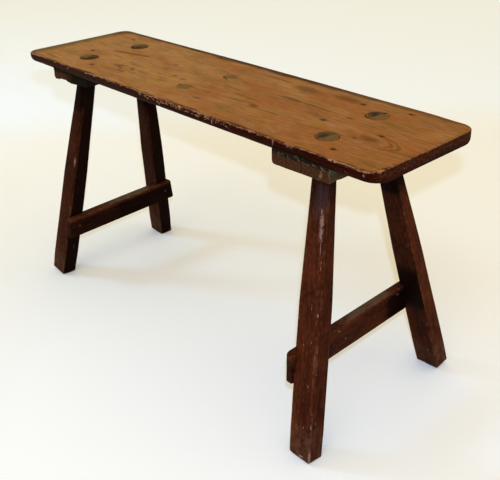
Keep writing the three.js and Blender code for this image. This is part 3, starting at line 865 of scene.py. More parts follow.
def rough(point: Vector, size: Sequence[float], seed: float) -> float:
    """Give smooth noise at a point, about 0 to 1.

    Args:
        point: The place in millimetres.
        size: The size of its lumps along each axis.
        seed: An offset that makes it differ from another of the same size.

    Returns:
        The noise.
    """
    spread = Vector((point.x / size[0] + seed, point.y / size[1] - seed, point.z / size[2] + 2 * seed))
    return 0.5 + 0.5 * noise.noise(spread)


def ease(value: float, low: float, high: float) -> float:
    """Ease from 0 at the low value to 1 at the high one, which may be below it."""
    share = min(1.0, max(0.0, (value - low) / (high - low)))
    return share * share * (3 - 2 * share)


def inset_polygon(corners: Sequence[Vector], insets: Sequence[float]) -> list[Vector]:
    """Move each side of an anticlockwise polygon in plan inwards by its own inset.

    Args:
        corners: The polygon's corners.
        insets: How far the side that starts at each corner moves.

    Returns:
        The new corners.
    """
    sides = []
    for i, corner in enumerate(corners):
        along = (corners[(i + 1) % len(corners)] - corner).normalized()
        sides.append((corner + insets[i] * Vector((-along.y, along.x)), along))
    made = []
    for i in range(len(sides)):
        before, before_along = sides[i - 1]
        after, after_along = sides[i]
        reach = (after - before).cross(after_along) / before_along.cross(after_along)
        made.append(before + reach * before_along)
    return made


def rounded_polygon(corners: Sequence[Vector], radii: Sequence[float], steps: int) -> list[Vector]:
    """Round each corner of an anticlockwise polygon in plan.

    Args:
        corners: The polygon's corners.
        radii: The radius at each corner.
        steps: How many chords each corner's arc has.

    Returns:
        The rounded outline.
    """
    made = []
    for i, corner in enumerate(corners):
        to_before = (corners[i - 1] - corner).normalized()
        to_after = (corners[(i + 1) % len(corners)] - corner).normalized()
        half = to_before.angle(to_after) / 2
        centre = corner + (to_before + to_after).normalized() * radii[i] / math.sin(half)
        start = corner + to_before * radii[i] / math.tan(half) - centre
        for step in range(steps + 1):
            arc = start.copy()
            arc.rotate(Matrix.Rotation((math.pi - 2 * half) * step / steps, 2))
            made.append(centre + arc)
    return made


def skin(rings: Sequence[Ring]) -> Body:
    """Lay a circle of points on each ring, bridge them and close both ends.

    Args:
        rings: Rings of equal count, in order.

    Returns:
        The closed body.
    """
    body = bmesh.new()
    loops = []
    for ring in rings:
        circle = bmesh.ops.create_circle(body, segments=len(ring), radius=1.0)["verts"]
        for vert, point in zip(circle, ring):
            vert.co = point
        loops.append(list({edge for vert in circle for edge in vert.link_edges}))
    for lower, upper in zip(loops, loops[1:]):
        bmesh.ops.bridge_loops(body, edges=lower + upper)
    for end in (loops[0], loops[-1]):
        bmesh.ops.contextual_create(body, geom=end)
    bmesh.ops.recalc_face_normals(body, faces=body.faces)
    return body


def slice_across(body: Body, normal: Vector, stations: Iterable[float], faces: Iterable = ()) -> None:
    """Slice a body by parallel planes, so that it has points enough to be worn.

    Args:
        body: The body.
        normal: The direction that the planes face.
        stations: How far along it each plane stands.
        faces: Faces to keep the cuts to, or none for the whole body.
    """
    kept = list(faces)
    for station in stations:
        parts = set(kept) if kept else set(body.faces)
        geometry = list(parts)
        geometry += list({edge for face in parts for edge in face.edges})
        geometry += list({vert for face in parts for vert in face.verts})
        place = {"plane_co": normal * station, "plane_no": normal}
        cut = bmesh.ops.bisect_plane(body, geom=geometry, dist=0.0005, **place)
        if kept:
            kept = [item for item in cut["geom"] if isinstance(item, bmesh.types.BMFace)]


def wear(body: Body, rule: Callable[[Vector, Vector], Vector]) -> None:
    """Move every point by what a rule says.

    Args:
        body: The body.
        rule: Takes a point and its outward normal and gives its move.
    """
    body.normal_update()
    moves = [rule(vert.co, vert.normal) for vert in body.verts]
    for vert, move in zip(body.verts, moves):
        vert.co += move


def as_object(body: Body, name: str) -> Piece:
    """Turn a body into an object, in the unit that it was made in.

    Args:
        body: The body, which is used up.
        name: The object's name.

    Returns:
        The object.
    """
    mesh = bpy.data.meshes.new(name)
    body.to_mesh(mesh)
    body.free()
    made = bpy.data.objects.new(name, mesh)
    bpy.context.scene.collection.objects.link(made)
    return made


def carve(body: Body, cutters: Iterable[Body]) -> Body:
    """Cut bodies out of another.

    Args:
        body: The body to cut, which is used up.
        cutters: What is cut out of it, one after another, also used up.

    Returns:
        The cut body.
    """
    target = as_object(body, "target")
    for cutter in cutters:
        tool = as_object(cutter, "cutter")
        modifier = target.modifiers.new("cut", "BOOLEAN")
        modifier.object = tool
        modifier.operation = "DIFFERENCE"
        modifier.solver = "MANIFOLD"
        bpy.context.view_layer.update()
        graph = bpy.context.evaluated_depsgraph_get()
        cut = bpy.data.meshes.new_from_object(target.evaluated_get(graph))
        target.modifiers.clear()
        target.data = cut
        bpy.data.objects.remove(tool)
    made = bmesh.new()
    made.from_mesh(target.data)
    bpy.data.objects.remove(target)
    return made


def deliver(
    body: Body,
    node: str,
    making: str,
    material: Finish,
    marks: dict[str, Rule],
    crease: float = 38.0,
) -> Piece:
    """Finish a piece: its marks, its size in metres, its material and its place in the model.

    Args:
        body: The body in millimetres, which is used up.
        node: The node of the model that it replaces.
        making: How it was made, the last word of its name.
        material: The finish.
        marks: For each number that its points carry, the rule that gives it.
        crease: The angle in degrees past which an edge is sharp.

    Returns:
        The piece.
    """
    made = as_object(body, f"{node}_{making}")
    mesh = made.data
    for name, rule in marks.items():
        attribute = mesh.attributes.new(name, "FLOAT", "POINT")
        attribute.data.foreach_set("value", [rule(vert.co) for vert in mesh.vertices])
    mesh.transform(Matrix.Scale(MILLIMETRE, 4))
    mesh.materials.clear()
    mesh.materials.append(material)
    mesh.polygons.foreach_set("use_smooth", [True] * len(mesh.polygons))
    mesh.set_sharp_from_angle(angle=math.radians(crease))
    mesh.update()
    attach(made, "root")
    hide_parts(node)
    log.info("%s: %d faces", made.name, len(mesh.polygons))
    return made


@dataclass(frozen=True)
class Nail:
    """A forged nail: where its head stands, which way it was driven, and how long it is."""

    node: str
    head: Vector
    direction: Vector
    length: float
    head_radius: float = 3.3
    head_height: float = 1.6
    shank_half: float = 1.5
    tip_half: float = 0.5

    @classmethod
    def of_node(cls, node: str, direction: Vector) -> "Nail":
        """Read a nail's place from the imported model.

        Args:
            node: The nail's node.
            direction: Which way it was driven.

        Returns:
            The nail.
        """
        low, high = (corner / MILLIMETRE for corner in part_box(node))
        middle = (low + high) / 2
        reach = abs((high - low).dot(direction))
        return cls(node, middle - direction * reach / 2, direction, reach)

    def placed(self, body: Body) -> Body:
        """Turn and move a body from along -Z to the nail's place.

        Args:
            body: The body.

        Returns:
            The same body.
        """
        turn = Vector((0, 0, -1)).rotation_difference(self.direction).to_matrix().to_4x4()
        bmesh.ops.transform(body, matrix=Matrix.Translation(self.head) @ turn, verts=body.verts)
        bmesh.ops.recalc_face_normals(body, faces=body.faces)
        return body

    def circle(self, radius: float, z: float, square: float = 0.0) -> Ring:
        """Give a ring of eight points, drawn towards a square by a share.

        Args:
            radius: Its radius, or half the square's side.
            z: Its height.
            square: 0 for a circle, 1 for a square.

        Returns:
            The ring.
        """
        ring = []
        for i in range(8):
            angle = math.pi * (i + 0.5) / 4
            point = Vector((math.cos(angle), math.sin(angle), 0)) * radius
            stretch = radius / max(abs(point.x), abs(point.y)) if radius else 1.0
            point *= 1 + square * (stretch - 1)
            ring.append(point + Vector((0, 0, z)))
        return ring

    def turned(self, head: Sequence[Pair], shank: Sequence[Pair]) -> Body:
        """Make a body from round rings and then square ones, each given by its radius and height."""
        return skin([self.circle(r, z) for r, z in head] + [self.circle(r, z, 1.0) for r, z in shank])

    def build(self, material: Finish) -> Piece:
        """Make the nail, with a low hammered head.

        Args:
            material: Its finish.

        Returns:
            The piece.
        """
        top = self.head_radius - 0.7
        head = [(0.7, -0.02), (0.6 * top, -0.06), (top, -0.22), (self.head_radius - 0.25, -0.45)]
        head += [(self.head_radius, -0.8), (self.head_radius, -self.head_height)]
        shank = [(self.shank_half, -self.head_height - 0.01), (self.tip_half, 0.01 - self.length)]
        body = self.turned(head, shank)
        seed = self.head.x * 0.37 + self.head.y * 0.11

        def hammer(point: Vector, normal: Vector) -> Vector:
            """Dent the head inwards."""
            below = point.z < -self.head_height
            return normal * -0.35 * (0.0 if below else rough(point, (1.7, 1.7, 1.7), seed))

        wear(body, hammer)
        return deliver(self.placed(body), self.node, "forged", material, {}, 30.0)

    def hole(self) -> Body:
        """Give the body that makes room for the nail.

        Returns:
            The body.
        """
        wide = self.head_radius + CLEARANCE
        neck = -self.head_height - CLEARANCE
        head = [(wide + 0.5, OVERRUN), (wide + 0.5, 0.3), (wide, -0.6), (wide, neck)]
        shank = [(self.shank_half + CLEARANCE, neck - 0.01)]
        shank += [(self.tip_half + CLEARANCE, -self.length - CLEARANCE)]
        return self.placed(self.turned(head, shank))


@dataclass(frozen=True)
class Leg:
    """A hewn leg and its tenon: where its axis leaves the seat, how it splays and tapers."""

    name: str
    head: Pair
    splay: Pair
    foot_extra: float
    cut_shares: Pair
    wedge_degrees: float
    flecks: tuple[Fleck, ...] = ()
    gap_shift: Pair = (0.0, 0.0)
    # These five set the leg's painted shade: an even share, the side turned from the light, bands at given
    # heights on the front faces, and the top under the seat from a given height.
    gloom: float = 0.0
    dark_side: Pair = (0.0, 0.0)
    dark_bands: tuple[Triple, ...] = ()
    dark_top: float = 0.9
    dark_from: float = 405.0
    swell: float = 0.0
    foot_round: float = 0.4
    # Where the painted shadow's dark crescent lies on the tenon's end, and how dark it is.
    crescent: Triple = (0.0, 0.0, 0.0)
    # Centre of a painted highlight, a lilac sheen.
    sheen: Triple = (0.0, 0.0, -200.0)
    foot: Triple = (22.1, 15.7, 0.9)
    middle: Triple = (22.4, 16.4, 3.6)
    shoulder: Triple = (16.6, 16.3, 9.4)
    foot_wear: float = 2.0
    root_radius: float = 15.2
    top_radius: float = 18.0
    proud: float = 1.2
    lower_cuts: int = 62
    upper_cuts: int = 52
    wedge_depth: float = 30.0
    wedge_half: Pair = (0.6, 1.8)

    @property
    def lean(self) -> Vector:
        """How far the axis moves in plan for each millimetre down."""
        return Vector(self.splay) / SEAT_TOP

    def axis(self, z: float) -> Vector:
        """Give the point of the axis at a height."""
        plan = Vector(self.head) + self.lean * (SEAT_TOP - z)
        return Vector((plan.x, plan.y, z))

    def turn(self) -> Triple:
        """Give the angles that turn the upright onto the leg's axis."""
        along = self.axis(SEAT_TOP) - self.axis(0)
        return tuple(Vector((0, 0, 1)).rotation_difference(along).to_euler())

    def section(self, z: float) -> Triple:
        """Give the half widths along X and Y and the chamfer at a height.

        Args:
            z: The height.

        Returns:
            The half width along X, the one along Y, and the chamfer.
        """
        below = z < LEG_MIDDLE
        share = z / LEG_MIDDLE if below else (z - LEG_MIDDLE) / (SHOULDER - LEG_MIDDLE)
        first, second = (self.foot, self.middle) if below else (self.middle, self.shoulder)
        extra = self.foot_extra * (1 - share) if below else 0.0
        half_x, half_y, chamfer = (a + share * (b - a) for a, b in zip(first, second))
        return half_x + extra, half_y + extra, chamfer

    def corners(self, z: float) -> list[Vector]:
        """Give the eight corners of the section at a height, round the axis.

        Args:
            z: The height.

        Returns:
            The corners in plan, counter-clockwise.
        """
        half_x, half_y, chamfer = self.section(z)
        flat_x, flat_y = half_x - chamfer, half_y - chamfer
        places = ((flat_x, -half_y), (half_x, -flat_y), (half_x, flat_y), (flat_x, half_y))
        return [Vector(p) for p in places] + [-Vector(p) for p in places]

    def outline(self, z: float) -> list[Vector]:
        """Give the section at a height with eased arrises, round the axis.

        Args:
            z: The height.

        Returns:
            The points in plan, counter-clockwise.
        """
        corners = self.corners(z)
        points = []
        for i, corner in enumerate(corners):
            before = corners[i - 1] - corner
            following = corners[(i + 1) % 8]
            after = following - corner
            start = corner + before.normalized() * min(1.5, 0.3 * before.length)
            trim = after.normalized() * min(1.5, 0.3 * after.length)
            end = corner + trim
            points += [start, corner.lerp((start + end) / 2, 0.45), end]
            shares = (0.12, 0.37, 0.63, 0.88) if i % 2 else (0.33, 0.67)
            points += [end.lerp(following - trim, share) for share in shares]
        return points

    def ring(self, z: float) -> Ring:
        """Give the section's ring in the model's frame."""
        axis = self.axis(z)
        return [axis + p.to_3d() for p in self.outline(z)]

    def foot_ring(self, lift: float) -> Ring:
        """Run the foot's long edges down to the sloping plane that it was sawn to.

        Args:
            lift: How far above that plane the ring lies.

        Returns:
            The ring.
        """
        floor = self.ring(0)
        up = self.ring(LEG_MIDDLE)
        slope = Vector((self.lean.x * self.cut_shares[0], self.lean.y * self.cut_shares[1]))
        axis = self.axis(0)
        half_x, half_y, _ = self.section(0)
        inner_x = axis.x - math.copysign(half_x, self.lean.x)
        inner_y = axis.y - math.copysign(half_y, self.lean.y)
        made = []
        for low, high in zip(floor, up):
            along = (high - low) / LEG_MIDDLE
            rise = slope.x * (low.x - inner_x) + slope.y * (low.y - inner_y)
            height = (rise - self.foot_wear + lift) / (1 - slope.x * along.x - slope.y * along.y)
            made.append(low + along * height)
        return made

    def round_ring(self, z: float, radius: float, shift: Sequence[float] = (0.0, 0.0)) -> Ring:
        """Give a level ring of a bar that is round square to the axis.

        Args:
            z: Its height.
            radius: The bar's radius.
            shift: How far the ring stands off the axis in plan.

        Returns:
            The ring, its points at the same bearings as the section's.
        """
        axis = self.axis(z) + Vector((*shift, 0))
        lean_angle = math.atan2(self.lean.y, self.lean.x)
        stretch = math.sqrt(1 + self.lean.length_squared)
        made = []
        for point in self.outline(SHOULDER):
            angle = math.atan2(point.y, point.x) - lean_angle
            offset = Vector((radius * stretch * math.cos(angle), radius * math.sin(angle)))
            offset.rotate(Matrix.Rotation(lean_angle, 2))
            made.append(axis + offset.to_3d())
        return made

    def tenon_radius(self, z: float) -> float:
        """Give the tenon's radius at a height."""
        share = max(0.0, (z - BATTEN_UNDERSIDE) / (SEAT_TOP - BATTEN_UNDERSIDE))
        return self.root_radius + share * (self.top_radius - self.root_radius)

    def blank(self) -> Body:
        """Make the leg with its tenon, before it is hewn and cut.

        Returns:
            The body.
        """
        sole = self.foot_ring(0)
        centre = sum(sole, Vector((0, 0, 0))) / len(sole)
        top = SEAT_TOP + self.proud
        rim = self.tenon_radius(top)
        levels = ((0, 0.11), (0.9, 0.05), (2.6, 0.014))
        rings = [[p.lerp(centre, s * self.foot_round) for p in self.foot_ring(lift)] for lift, s in levels]
        rings += [self.foot_ring(5.0), self.ring(LEG_MIDDLE), self.ring(SHOULDER)]
        root, mouth = self.tenon_radius(SHOULDER), self.tenon_radius(SEAT_TOP)
        rounds = [(SHOULDER + 0.05, root), (SEAT_TOP - 0.2, mouth)]
        rounds += [(top - 0.25, rim - 0.35), (top, rim - 1.0), (top, rim * 0.72), (top, rim * 0.45)]
        rings += [self.round_ring(z, radius) for z, radius in rounds + [(top, rim * 0.18)]]
        body = skin(rings)
        self.divide(body, 6.0, LEG_MIDDLE, self.lower_cuts)
        self.divide(body, LEG_MIDDLE, SHOULDER, self.upper_cuts)
        for vert in body.verts:
            vert.co.z = max(0.0, vert.co.z)
        return body

    def divide(self, body: Body, low: float, high: float, cuts: int) -> None:
        """Divide the long edges between two rings.

        Args:
            body: The leg.
            low: A height at or just above the lower ring.
            high: The height of the upper ring.
            cuts: How many times each edge is divided.
        """
        long_edges = []
        for edge in body.edges:
            ends = sorted(vert.co.z for vert in edge.verts)
            if ends[0] <= low + 14 and abs(ends[1] - high) < 0.01 and ends[1] - ends[0] > 100:
                long_edges.append(edge)
        bmesh.ops.subdivide_edges(body, edges=long_edges, cuts=cuts, use_grid_fill=True)

    def mortise(self, shift: Sequence[float]) -> Body:
        """Make the body that bores the hole for the tenon.

        Args:
            shift: How far the hole's mouth has been worn to one side.

        Returns:
            The body.
        """
        heights = (BATTEN_UNDERSIDE - OVERRUN, BATTEN_UNDERSIDE, SEAT_TOP - 4, SEAT_TOP, SEAT_TOP + 6)
        rings = []
        for z in heights:
            extra = CLEARANCE + (0.1 if z > SEAT_TOP - 2 else 0.0)
            drift = [ease(z, SEAT_UNDERSIDE, SEAT_TOP) * value for value in shift]
            widen = max(abs(value) for value in drift)
            rings.append(self.round_ring(z, self.tenon_radius(z) + extra + widen, drift))
        return skin(rings)

    def wedge_slot(self) -> Body:
        """Make the body that cuts the slot for the wedge.

        Returns:
            The body.
        """
        turn = Matrix.Rotation(math.radians(self.wedge_degrees), 2)
        reach = self.top_radius + OVERRUN
        rings = []
        for z in (SEAT_TOP - self.wedge_depth - CLEARANCE, SEAT_TOP + OVERRUN):
            share = (z - SEAT_TOP + self.wedge_depth) / self.wedge_depth
            half = self.wedge_half[0] + share * (self.wedge_half[1] - self.wedge_half[0]) + CLEARANCE
            ring = []
            for x, y in ((-half, -reach), (half, -reach), (half, reach), (-half, reach)):
                corner = Vector((x, y))
                corner.rotate(turn)
                ring.append(self.axis(z) + corner.to_3d())
            rings.append(ring)
        return skin(rings)

    def hew(self, point: Vector, normal: Vector) -> Vector:
        """Give the move of a point: a little out, less what the drawknife and wear took off.

        Args:
            point: The point.
            normal: Its outward normal.

        Returns:
            The move.
        """
        seed = self.head[0] * 0.013 + self.head[1] * 0.07
        if point.z > SHOULDER - 0.01:
            if point.z < SEAT_TOP + 0.9:
                return Vector((0, 0, 0))
            return Vector((0, 0, -0.9 * rough(point, (9.0, 9.0, 9.0), seed)))
        half_x, half_y, chamfer = self.section(max(0.0, point.z))
        off = point - self.axis(point.z)
        inside = min(half_x - abs(off.x), half_y - abs(off.y))
        inside = min(inside, (half_x + half_y - chamfer - abs(off.x) - abs(off.y)) / math.sqrt(2))
        if point.z < 1.0 or inside > 1.2:
            return Vector((0, 0, 0))
        depth = 0.7 * rough(point, (34.0, 34.0, 80.0), seed) - 0.1
        depth += 0.26 * rough(point, (8.0, 8.0, 26.0), seed + 3)
        nick = ease(rough(point, (7.0, 7.0, 9.0), seed + 9), 0.76, 0.9)
        depth += 0.7 * nick * self.arris(point)
        return normal * ((1.0 + self.swell) * ease(point.z, 5.0, 50.0) - max(0.0, depth))

    def arris(self, point: Vector) -> float:
        """Give how close a point is to one of the long arrises, from 0 to 1.

        Args:
            point: The point.

        Returns:
            The share.
        """
        if point.z > SHOULDER:
            return 0.0
        here = (point - self.axis(point.z)).to_2d()
        nearest = min((here - corner).length for corner in self.corners(max(0.0, point.z)))
        foot = ease(point.z, 16.0, 0.0)
        return max(ease(nearest, 5.0, 0.8), foot)

    def end(self, point: Vector) -> float:
        """Give 1 on the tenon's end and the sole, some on the foot's rim, and 0 elsewhere."""
        sawn = point.z > TENON_END or point.z < 0.05
        return 1.0 if sawn else 0.62 * ease(point.z, 6.0, 1.5) * self.arris(point)

    def dusty(self, point: Vector) -> float:
        """Give how dusty a point is: a little at the foot."""
        return 0.62 * ease(point.z, 110.0, 35.0)

    def shade(self, point: Vector) -> float:
        """Give how much painted shade a point takes: most on the side turned from the light, in bands, and
        under the seat.

        Args:
            point: The point.

        Returns:
            The share.
        """
        if point.z > SHOULDER:
            return 0.0
        half_x, half_y, chamfer = self.section(max(0.0, point.z))
        off = point - self.axis(point.z)
        across = abs(off.x) / half_x
        along = abs(off.y) / half_y
        corner = (abs(off.x) + abs(off.y)) / (half_x + half_y - chamfer)
        facing = Vector((math.copysign(1, off.x), math.copysign(1, off.y))).normalized()
        if across > max(along, corner):
            facing = Vector((math.copysign(1, off.x), 0))
        elif along > corner:
            facing = Vector((0, math.copysign(1, off.y)))
        # Painted shade: an even share, lighter towards the foot, the side turned from the light, bands on
        # the front faces, and the top under the seat.
        gloom = self.gloom * (0.7 + 0.3 * ease(point.z, 60.0, 240.0))
        dark = max(gloom, facing.dot(Vector(self.dark_side)))
        bands = [ease(abs(point.z - z), outer, inner) for z, inner, outer in self.dark_bands]
        band = max(bands, default=0.0) if facing.y < -0.1 else 0.0
        return max(dark, band, self.dark_top * ease(point.z, self.dark_from, self.dark_from + 45))

    def build(self, housing: Body, nails: Sequence[Nail]) -> Piece:
        """Make the leg.

        Args:
            housing: The body that cuts the stretcher's housing.
            nails: The nails whose holes it has.

        Returns:
            The piece.
        """
        cutters = [self.wedge_slot(), housing] + [nail.hole() for nail in nails]
        body = carve(self.blank(), cutters)
        wear(body, self.hew)
        end = self.axis(SEAT_TOP)
        finish = PaintedBar(tuple(self.axis(0)), self.turn(), self.flecks, self.crescent, end, self.sheen)
        material = finish.material(f"painted_leg_{self.name}")
        marks = {"worn": self.arris, "dusty": self.dusty, "end": self.end, "shade": self.shade}
        return deliver(body, f"leg_{self.name}", "hewn", material, marks)


@dataclass(frozen=True)
class Stretcher:
    """A flat bar on edge between two legs, let into their inner faces."""

    name: str
    housed_x: float
    open_x: float
    front_y: float
    rear_y: float
    middle_z: float
    height: float
    rise: float
    end_slopes: Pair
    flecks: tuple[Fleck, ...] = ()
    # The least share of painted shade on the bar's sides, and where it starts to deepen towards the rear.
    painted_shade: float = 0.4
    shade_from: float = 48.0
    lower_arris: float = 1.6
    upper_arris: float = 3.5

    def ring(self, y: float, slope: float, inset: float, top_inset: float, extra: float) -> Ring:
        """Give a section across the bar.

        Args:
            y: Where it crosses the bar's middle height.
            slope: How far it moves along Y for each millimetre up.
            inset: How far its sides and underside stand in.
            top_inset: How far its top stands in.
            extra: How far it is grown all round.

        Returns:
            The ring.
        """
        low = min(self.housed_x, self.open_x)
        high = max(self.housed_x, self.open_x)
        half = self.height / 2
        outline = [Vector(p) for p in ((-half, low), (half, low), (half, high), (-half, high))]
        insets = [value - extra for value in (inset, top_inset, inset, inset)]
        radii = [self.lower_arris, self.upper_arris, self.upper_arris, self.lower_arris]
        corners = inset_polygon([Vector((p.x, -p.y)) for p in outline][::-1], insets[::-1])
        section = rounded_polygon(corners, [radius + extra for radius in radii[::-1]], 4)
        made = []
        for p in section:
            along = y + slope * p.x
            made.append(Vector((-p.y, along, self.middle_z + p.x + self.rise * along)))
        return made

    def blank(self) -> Body:
        """Make the bar with worn ends, and slice it for its wear.

        Returns:
            The body.
        """
        levels = ((0.0, 1.7, 7.4), (0.7, 0.8, 5.4), (2.0, 0.2, 3.4), (5.0, 0.0, 1.4), (10.0, 0.0, 0.0))
        front, rear = self.end_slopes
        rings = [self.ring(self.front_y + back, front, a, b, 0) for back, a, b in levels]
        rings += [self.ring(self.rear_y - back, rear, a, b, 0) for back, a, b in levels[::-1]]
        body = skin(rings)
        long_edges = [edge for edge in body.edges if edge.calc_length() > 200]
        bmesh.ops.subdivide_edges(body, edges=long_edges, cuts=70, use_grid_fill=True)
        low = self.middle_z - self.height / 2
        stations = [low + self.height * share / 9 for share in range(1, 9)]
        slice_across(body, Vector((0, -self.rise, 1)).normalized(), stations)
        side = [self.housed_x + (self.open_x - self.housed_x) * s for s in (0.25, 0.5, 0.75)]
        slice_across(body, Vector((1, 0, 0)), side)
        return body

    def cutter(self) -> Body:
        """Make the body that cuts the legs' housings."""
        ends = zip((self.front_y - OVERRUN, self.rear_y + OVERRUN), self.end_slopes)
        return skin([self.ring(y, slope, 0, 0, CLEARANCE) for y, slope in ends])

    def around(self, point: Vector) -> Triple:
        """Give how far a point is from the bar's nearer side, below its top and from its nearer end.

        Args:
            point: The point.

        Returns:
            The three distances.
        """
        side = min(abs(point.x - self.housed_x), abs(point.x - self.open_x))
        top = self.middle_z + self.height / 2 + self.rise * point.y
        return side, top - point.z, min(point.y - self.front_y, self.rear_y - point.y)

    def rub(self, point: Vector, normal: Vector) -> Vector:
        """Give the hollow that wear left at a point.

        Args:
            point: The point.
            normal: Its outward normal.

        Returns:
            The move.
        """
        seed = self.middle_z * 0.031
        side = self.around(point)[0]
        level = point.z - self.middle_z - self.rise * point.y
        if side > 1.2 and self.height / 2 - abs(level) > 1.2 and abs(point.y) < self.rear_y - 8:
            return Vector((0, 0, 0))
        depth = 0.7 * rough(point, (14.0, 60.0, 14.0), seed) + 0.25 * rough(point, (5.0, 12.0, 5.0), seed)
        return -normal * depth * 0.8

    def worn(self, point: Vector) -> float:
        """Give how worn a point is: most along the top arrises and at the ends.

        Args:
            point: The point.

        Returns:
            The share.
        """
        side, depth, end = self.around(point)
        above = ease(math.hypot(side, depth), 9.0, 2.0)
        below = 0.6 * ease(math.hypot(side, self.height - depth), 5.0, 1.0)
        return max(above, below, 0.9 * ease(end, 9.0, 1.0))

    def shade(self, point: Vector) -> float:
        """Give how dark a point is painted: painted shade on the sides, deeper towards the rear, darker at
        the ends, and none on the top.

        Args:
            point: The point.

        Returns:
            The share.
        """
        _, depth, end = self.around(point)
        rear = ease(point.y, self.shade_from, self.shade_from + 44)
        return max(self.painted_shade, 0.62 * ease(end, 9.0, 2.0), rear) * ease(depth, 1.0, 12.0)

    def dusty(self, point: Vector) -> float:
        """Give how dusty a point is: the top is, and the ends a little.

        Args:
            point: The point.

        Returns:
            The share.
        """
        _, depth, end = self.around(point)
        trodden = 0.3 + 0.6 * ease(point.y, -90.0, 0.0) * ease(point.y, 120.0, 60.0)
        return max(ease(depth, 4.0, 0.8) * trodden, 0.5 * ease(end, 6.0, 0.5))

    def build(self, nails: Sequence[Nail]) -> Piece:
        """Make the stretcher.

        Args:
            nails: The nails that go through it.

        Returns:
            The piece.
        """
        body = carve(self.blank(), [nail.hole() for nail in nails])
        wear(body, self.rub)
        finish = PaintedBar((self.housed_x, 0.0, self.middle_z), (math.pi / 2, 0.0, 0.0), self.flecks)
        material = finish.material(f"painted_stretcher_{self.name}")
        marks = {"worn": self.worn, "dusty": self.dusty, "shade": self.shade}
        return deliver(body, f"stretcher_{self.name}", "worn", material, marks)


@dataclass(frozen=True)
class EasedBoard:
    """A board with a convex outline, whose four sides have their own lower and upper arris."""

    corners: tuple[Pair, ...]
    radii: Sides
    bottom: float
    top: float
    lower_arris: Sides
    upper_arris: Sides
    corner_steps: int = 7
    lower_steps: int = 8
    upper_steps: int = 4

    def ring(self, z: float, insets: Sequence[float]) -> Ring:
        """Give the outline at a height, each side moved in by its inset."""
        corners = inset_polygon([Vector(c) for c in self.corners], insets)
        return [Vector((p.x, p.y, z)) for p in rounded_polygon(corners, self.radii, self.corner_steps)]

    def rings(self) -> list[Ring]:
        """Give the rings from the underside to the top.

        Returns:
            The rings.
        """
        made = []
        for radii, steps, face, up in (
            (self.lower_arris, self.lower_steps, self.bottom, 1),
            (self.upper_arris, self.upper_steps, self.top, -1),
        ):
            level = []
            for step in range(steps + 1):
                height = max(radii) * (1 - math.cos(math.pi / 2 * step / steps))
                insets = [self.arris_inset(radius, height) for radius in radii]
                level.append(self.ring(face + up * height, insets))
            made += level if up > 0 else level[::-1]
        return made

    def arris_inset(self, radius: float, height: float) -> float:
        """Give how far a quarter-round arris stands in at a height above its face."""
        return radius - math.sqrt(radius**2 - max(0.0, radius - height) ** 2)


@dataclass(frozen=True)
class Chip:
    """A piece broken out of the seat's front top arris."""

    x: float
    length: float
    depth: float

    def at(self, x: float) -> float:
        """Give its depth at a distance along the board."""
        share = abs(x - self.x) / (self.length / 2)
        return self.depth * ease(share, 1.0, 0.35)


